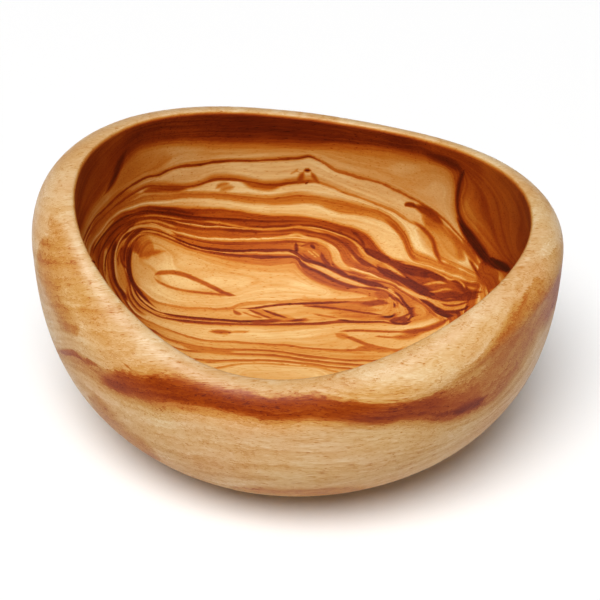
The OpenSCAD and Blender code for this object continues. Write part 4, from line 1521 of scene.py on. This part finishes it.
    def read(self, tree: NodeTree) -> dict:
        """Reads what the bowl knows at each point, and adds the patterns of its place.

        Args:
            tree: the material's tree.

        Returns:
            The sockets known so far, by name.
        """
        known = {name: add_node(tree, "ShaderNodeAttribute", attribute_name=name).outputs["Fac"]
                 for name in ("layer", "layer_mm", "ink", "wash", "outer_layer", "outer_layer_mm",
                              "outer_wash", "station")}
        metres = add_node(tree, "ShaderNodeTexCoord").outputs["Object"]
        place = add_node(tree, "ShaderNodeVectorMath", {0: metres, "Scale": 1 / MM},
                         operation="SCALE").outputs[0]
        parts = add_node(tree, "ShaderNodeSeparateXYZ", {0: place}).outputs
        known |= {"x": parts[0], "y": parts[1]}
        known |= {name: self.pattern(tree, place, *pattern)
                  for name, pattern in self.PATTERNS.items()}
        known["inside"] = add_node(
            tree, "ShaderNodeMapRange",
            {0: known["station"], 1: self.inside_from, 2: self.inside_to}).outputs[0]
        work_out(tree, known, (("outermost", "SUBTRACT", 1.0, "inside"),))
        return known

    def find_layers(self, tree: NodeTree, known: dict) -> None:
        """Numbers the growth layers, and finds the line and the halo of the nearest boundary.

        Args:
            tree: the material's tree.
            known: the sockets known so far, by name. The results join them.
        """
        work_out(tree, known, (
            ("drift", "MULTIPLY", "slow", self.wander_mm),
            ("shiver", "MULTIPLY", "quick", self.shiver_mm),
            ("off_mm", "ADD", "drift", "shiver"), ("off", "DIVIDE", "off_mm", "layer_mm"),
            ("number", "ADD", "layer", "off"),
            ("outer_fray", "MULTIPLY_ADD", "fibre", self.fray_mm, "off_mm"),
            ("outer_drift", "MULTIPLY", "outer_fray", self.outer_wander),
            ("outer_off", "DIVIDE", "outer_drift", "outer_layer_mm"),
            ("outer_number", "ADD", "outer_layer", "outer_off"),
            # Distance to the nearest boundary, and on which side of it
            ("rounded", "ROUND", "number"), ("at_least", "MAXIMUM", "rounded", 0.0),
            ("nearest", "MINIMUM", "at_least", float(len(BOUNDARIES) - 1)),
            ("side", "SUBTRACT", "number", "nearest"),
            ("side_mm", "MULTIPLY", "side", "layer_mm"), ("far_mm", "ABSOLUTE", "side_mm"),
            ("swollen", "MULTIPLY_ADD", "swell", self.line_swell, 1.0),
            ("half_mm", "MULTIPLY", "swollen", self.line_mm),
            ("fade_mm", "ADD", "half_mm", self.line_blur_mm)))
        known["line"] = self.fade(tree, known["far_mm"], known["half_mm"], known["fade_mm"])
        known["outward"] = self.fade(tree, known["far_mm"], 0.0, self.outward_mm)
        known["inward"] = self.fade(tree, known["far_mm"], 0.0, self.inward_mm)
        work_out(tree, known, (
            ("is_outward", "GREATER_THAN", "side_mm", 0.0),
            ("is_inward", "SUBTRACT", 1.0, "is_outward"),
            ("tail", "MULTIPLY", "outward", "is_outward"),
            ("tail_tone", "MULTIPLY", "tail", self.outward_tone),
            ("lead", "MULTIPLY", "inward", "is_inward"),
            ("halo", "MULTIPLY_ADD", "lead", self.inward_tone, "tail_tone"),
            ("inked_halo", "MULTIPLY", "halo", "ink"), ("inked_line", "MULTIPLY", "line", "ink"),
            ("deep_line", "MULTIPLY", "inked_line", self.line_tone)))

    def tone_layers(self, tree: NodeTree, known: dict) -> None:
        """Gives each place the tone of its layer, its boundary's line and its marks.

        Args:
            tree: the material's tree.
            known: the sockets known so far, by name. The tone joins them as marked.
        """
        known["band"] = self.tones(tree, known["number"], self.hollow_span, self.hollow_tones)
        known["outer_band"] = self.tones(tree, known["outer_number"], self.outer_span,
                                         self.outer_tones)
        work_out(tree, known, (
            ("over_plain", "SUBTRACT", "band", self.plain_tone),
            ("washed", "MULTIPLY_ADD", "over_plain", "wash", self.plain_tone),
            ("over_outer", "SUBTRACT", "outer_band", self.plain_tone),
            ("outer_washed", "MULTIPLY_ADD", "over_outer", "outer_wash", self.plain_tone),
            ("change", "SUBTRACT", "washed", "outer_washed"),
            ("marked", "MULTIPLY_ADD", "change", "inside", "outer_washed")))
        self.lay_sheets(tree, known, ("wash",))
        work_out(tree, known, (
            ("inner_halo", "MULTIPLY", "inked_halo", "inside"),
            ("inner_line", "MULTIPLY", "deep_line", "inside"),
            ("shadowed", "MAXIMUM", "marked", "inner_halo"),
            ("marked", "MAXIMUM", "shadowed", "inner_line")))
        self.lay_sheets(tree, known, ("patch", "pale", "stroke"))

    def age(self, tree: NodeTree, known: dict) -> None:
        """Streaks, clouds and flecks the tone, and opens the pores.

        Args:
            tree: the material's tree.
            known: the sockets known so far, by name. The tone joins them as toned.
        """
        for patterns, number, rise in ((self.LAYERED, "number", self.streak_rise),
                                       (self.OUTER_LAYERED, "outer_number",
                                        self.outer_streak_rise)):
            work_out(tree, known, (("tall", "MULTIPLY", number, rise),))
            place = add_node(tree, "ShaderNodeCombineXYZ",
                             {0: known["x"], 1: known["y"], 2: known["tall"]}).outputs[0]
            known |= {name: self.pattern(tree, place, *pattern)
                      for name, pattern in patterns.items()}
        work_out(tree, known, (
            ("depth", "MULTIPLY_ADD", "marked", -self.streak_loss, self.streak_depth),
            ("streaks", "SUBTRACT", "streak", "outer_streak"),
            ("streaking", "MULTIPLY_ADD", "streaks", "inside", "outer_streak"),
            ("streaked", "MULTIPLY_ADD", "streaking", "depth", "marked"),
            ("grained", "MULTIPLY_ADD", "fibre", self.fibre_depth, "streaked"),
            ("clouded", "MULTIPLY_ADD", "cloud", self.cloud_depth, "grained"),
            ("softly", "MULTIPLY", "mottle", self.mottle_share),
            ("flecked", "MULTIPLY_ADD", "dash", self.dash_share, "softly"),
            ("fleck", "MULTIPLY_ADD", "grain", self.grain_share, "flecked"),
            ("mottling", "MULTIPLY", "fleck", "outermost"),
            ("mottled", "MULTIPLY_ADD", "mottling", self.fleck_depth, "clouded"),
            ("pored", "SUBTRACT", "pore", self.pore_limit), ("pits", "MAXIMUM", "pored", 0.0),
            ("dashed", "SUBTRACT", "dash", self.dash_limit), ("cuts", "MAXIMUM", "dashed", 0.0),
            ("outer_cuts", "MULTIPLY", "cuts", "outermost"),
            ("open", "MULTIPLY_ADD", "outer_cuts", self.dash_open, "pits"),
            ("toned", "MULTIPLY_ADD", "open", self.pore_tone, "mottled")))

    def colour(self, tree: NodeTree, known: dict) -> NodeSocket:
        """Turns the tone into the wood's colour.

        Args:
            tree: the material's tree.
            known: the sockets known so far, by name.

        Returns:
            The colour.
        """
        sides = []
        for shades in (self.outer_shades, self.hollow_shades):
            sides.append(add_node(tree, "ShaderNodeValToRGB", {0: known["toned"]}))
            self.fill(sides[-1], [(at, to_linear(shade)) for at, shade in shades])
        mixed = add_node(tree, "ShaderNodeMix",
                         {"Factor": known["inside"], 6: sides[0].outputs[0],
                          7: sides[1].outputs[0]}, data_type="RGBA")
        work_out(tree, known, (
            ("ruddy", "MULTIPLY_ADD", "flush", self.ruddy_swing, self.ruddy_mean),
            ("ruddy_outside", "MULTIPLY", "ruddy", "outermost"),
            ("redness", "MAXIMUM", "ruddy_outside", 0.0)))
        return add_node(tree, "ShaderNodeMix",
                        {"Factor": known["redness"], 6: mixed.outputs[2],
                         7: to_linear(self.ruddy_cast)}, data_type="RGBA",
                        blend_type="MULTIPLY").outputs[2]

    def material(self) -> Material:
        """Builds the finish.

        Returns:
            The material.
        """
        wood = bpy.data.materials.new("olive_wood_oiled")
        wood.use_nodes = True
        tree = wood.node_tree
        tree.nodes.clear()
        known = self.read(tree)
        self.find_layers(tree, known)
        self.tone_layers(tree, known)
        self.age(tree, known)
        colour = self.colour(tree, known)
        work_out(tree, known, (
            ("polish", "MULTIPLY_ADD", "cloud", self.polish_swing, self.roughness),
            ("duller", "MULTIPLY_ADD", "inside", self.hollow_dullness, "polish"),
            ("rougher", "MULTIPLY_ADD", "open", self.pore_roughness, "duller"),
            ("raised", "MULTIPLY", "fibre", self.fibre_relief),
            ("height", "SUBTRACT", "raised", "open")))
        relief = add_node(tree, "ShaderNodeBump",
                          {"Height": known["height"], "Strength": self.relief,
                           "Distance": self.relief_mm * MM})
        surface = add_node(tree, "ShaderNodeBsdfPrincipled",
                           {"Base Color": colour, "Roughness": known["rougher"],
                            "IOR": self.ior, "Specular IOR Level": self.sheen,
                            "Normal": relief.outputs[0]})
        add_node(tree, "ShaderNodeOutputMaterial", {"Surface": surface.outputs[0]})
        return wood


@dataclass(frozen=True)
class MattWhitePaint:
    """The floor's matt paint: pure white to the camera, and a little darker to other light."""

    seen: str = "#ffffff"
    bounce: str = "#e6e6e8"

    def material(self) -> Material:
        """Builds the finish.

        Returns:
            The material.
        """
        paint = bpy.data.materials.new("matt_white_floor")
        paint.use_nodes = True
        tree = paint.node_tree
        tree.nodes.clear()
        rays = add_node(tree, "ShaderNodeLightPath").outputs
        colour = add_node(tree, "ShaderNodeMix",
                          {"Factor": rays["Is Camera Ray"], 6: to_linear(self.bounce),
                           7: to_linear(self.seen)}, data_type="RGBA")
        matt = add_node(tree, "ShaderNodeBsdfDiffuse", {"Color": colour.outputs[2]})
        add_node(tree, "ShaderNodeOutputMaterial", {"Surface": matt.outputs[0]})
        return paint


@dataclass(frozen=True)
class SoftBox:
    """A soft lamp. Its place and width are in metres and its power in watts.

    A lamp that shines shows in the wood's sheen alone, and any other lamp lights the wood
    without a sheen, so that the light and the sheen each have their own place.
    """

    name: str
    place: tuple[float, float, float]
    width: float
    power: float
    shines: bool = False

    AIM = (0, 0, 0.03)

    def build(self) -> None:
        """Makes the lamp, turned towards the bowl."""
        light = bpy.data.lights.new(self.name, "AREA")
        light.shape = "DISK"
        light.size, light.energy = self.width, self.power
        lamp = bpy.data.objects.new(self.name, light)
        lamp.location = self.place
        lamp.visible_glossy, lamp.visible_diffuse = self.shines, not self.shines
        towards = Vector(self.AIM) - lamp.location
        lamp.rotation_euler = towards.to_track_quat("-Z", "Y").to_euler()
        bpy.context.scene.collection.objects.link(lamp)


@dataclass
class Studio:
    """A plain white floor, a broad soft lamp in front, above and a little to the left, and a
    small one overhead for the sheen. Sizes are in metres."""

    floor_w: float = 6.0
    air: float = 0.12
    air_colour: str = "#ffffff"
    lamps: tuple[SoftBox, ...] = (
        SoftBox("key", (-1.1, -4.3, 8.3), 6.3, 990.0),
        SoftBox("sheen", (-0.2, 0.05, 1.6), 0.6, 26.0, True))

    def build(self) -> None:
        """Makes the floor, the lamps and the white air round them."""
        half = self.floor_w / 2
        mesh = bpy.data.meshes.new("floor")
        mesh.from_pydata([(-half, -half, 0), (half, -half, 0), (half, half, 0), (-half, half, 0)],
                         [], [(0, 1, 2, 3)])
        floor = bpy.data.objects.new("floor", mesh)
        bpy.context.scene.collection.objects.link(floor)
        mesh.materials.append(MattWhitePaint().material())
        world = bpy.data.worlds.new("studio_air")
        world.use_nodes = True
        tree = world.node_tree
        tree.nodes.clear()
        rays = add_node(tree, "ShaderNodeLightPath").outputs
        strength = add_node(tree, "ShaderNodeMapRange",
                            {0: rays["Is Camera Ray"], 1: 0.0, 2: 1.0, 3: self.air, 4: 1.0})
        air = add_node(tree, "ShaderNodeBackground",
                       {"Color": to_linear(self.air_colour), "Strength": strength.outputs[0]})
        add_node(tree, "ShaderNodeOutputWorld", {"Surface": air.outputs[0]})
        bpy.context.scene.world = world
        for lamp in self.lamps:
            lamp.build()


def main() -> None:
    """Builds the camera, the bowl and the studio."""
    logging.basicConfig(level=logging.INFO, format="%(name)s: %(message)s")
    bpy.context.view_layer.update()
    bpy.context.scene.view_settings.view_transform = "Standard"
    camera = ProductCamera()
    camera.build()
    bowl = BowlShell().build("bowl_wood", OiledOliveWood().material())
    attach(bowl, "root")
    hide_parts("bowl")
    LOG.info("bowl_wood: %d points, %d faces", len(bowl.data.vertices), len(bowl.data.polygons))
    bpy.context.view_layer.update()
    WoodFigure(bowl, camera).lay()
    Studio().build()


if __name__ == "__main__":
    main()
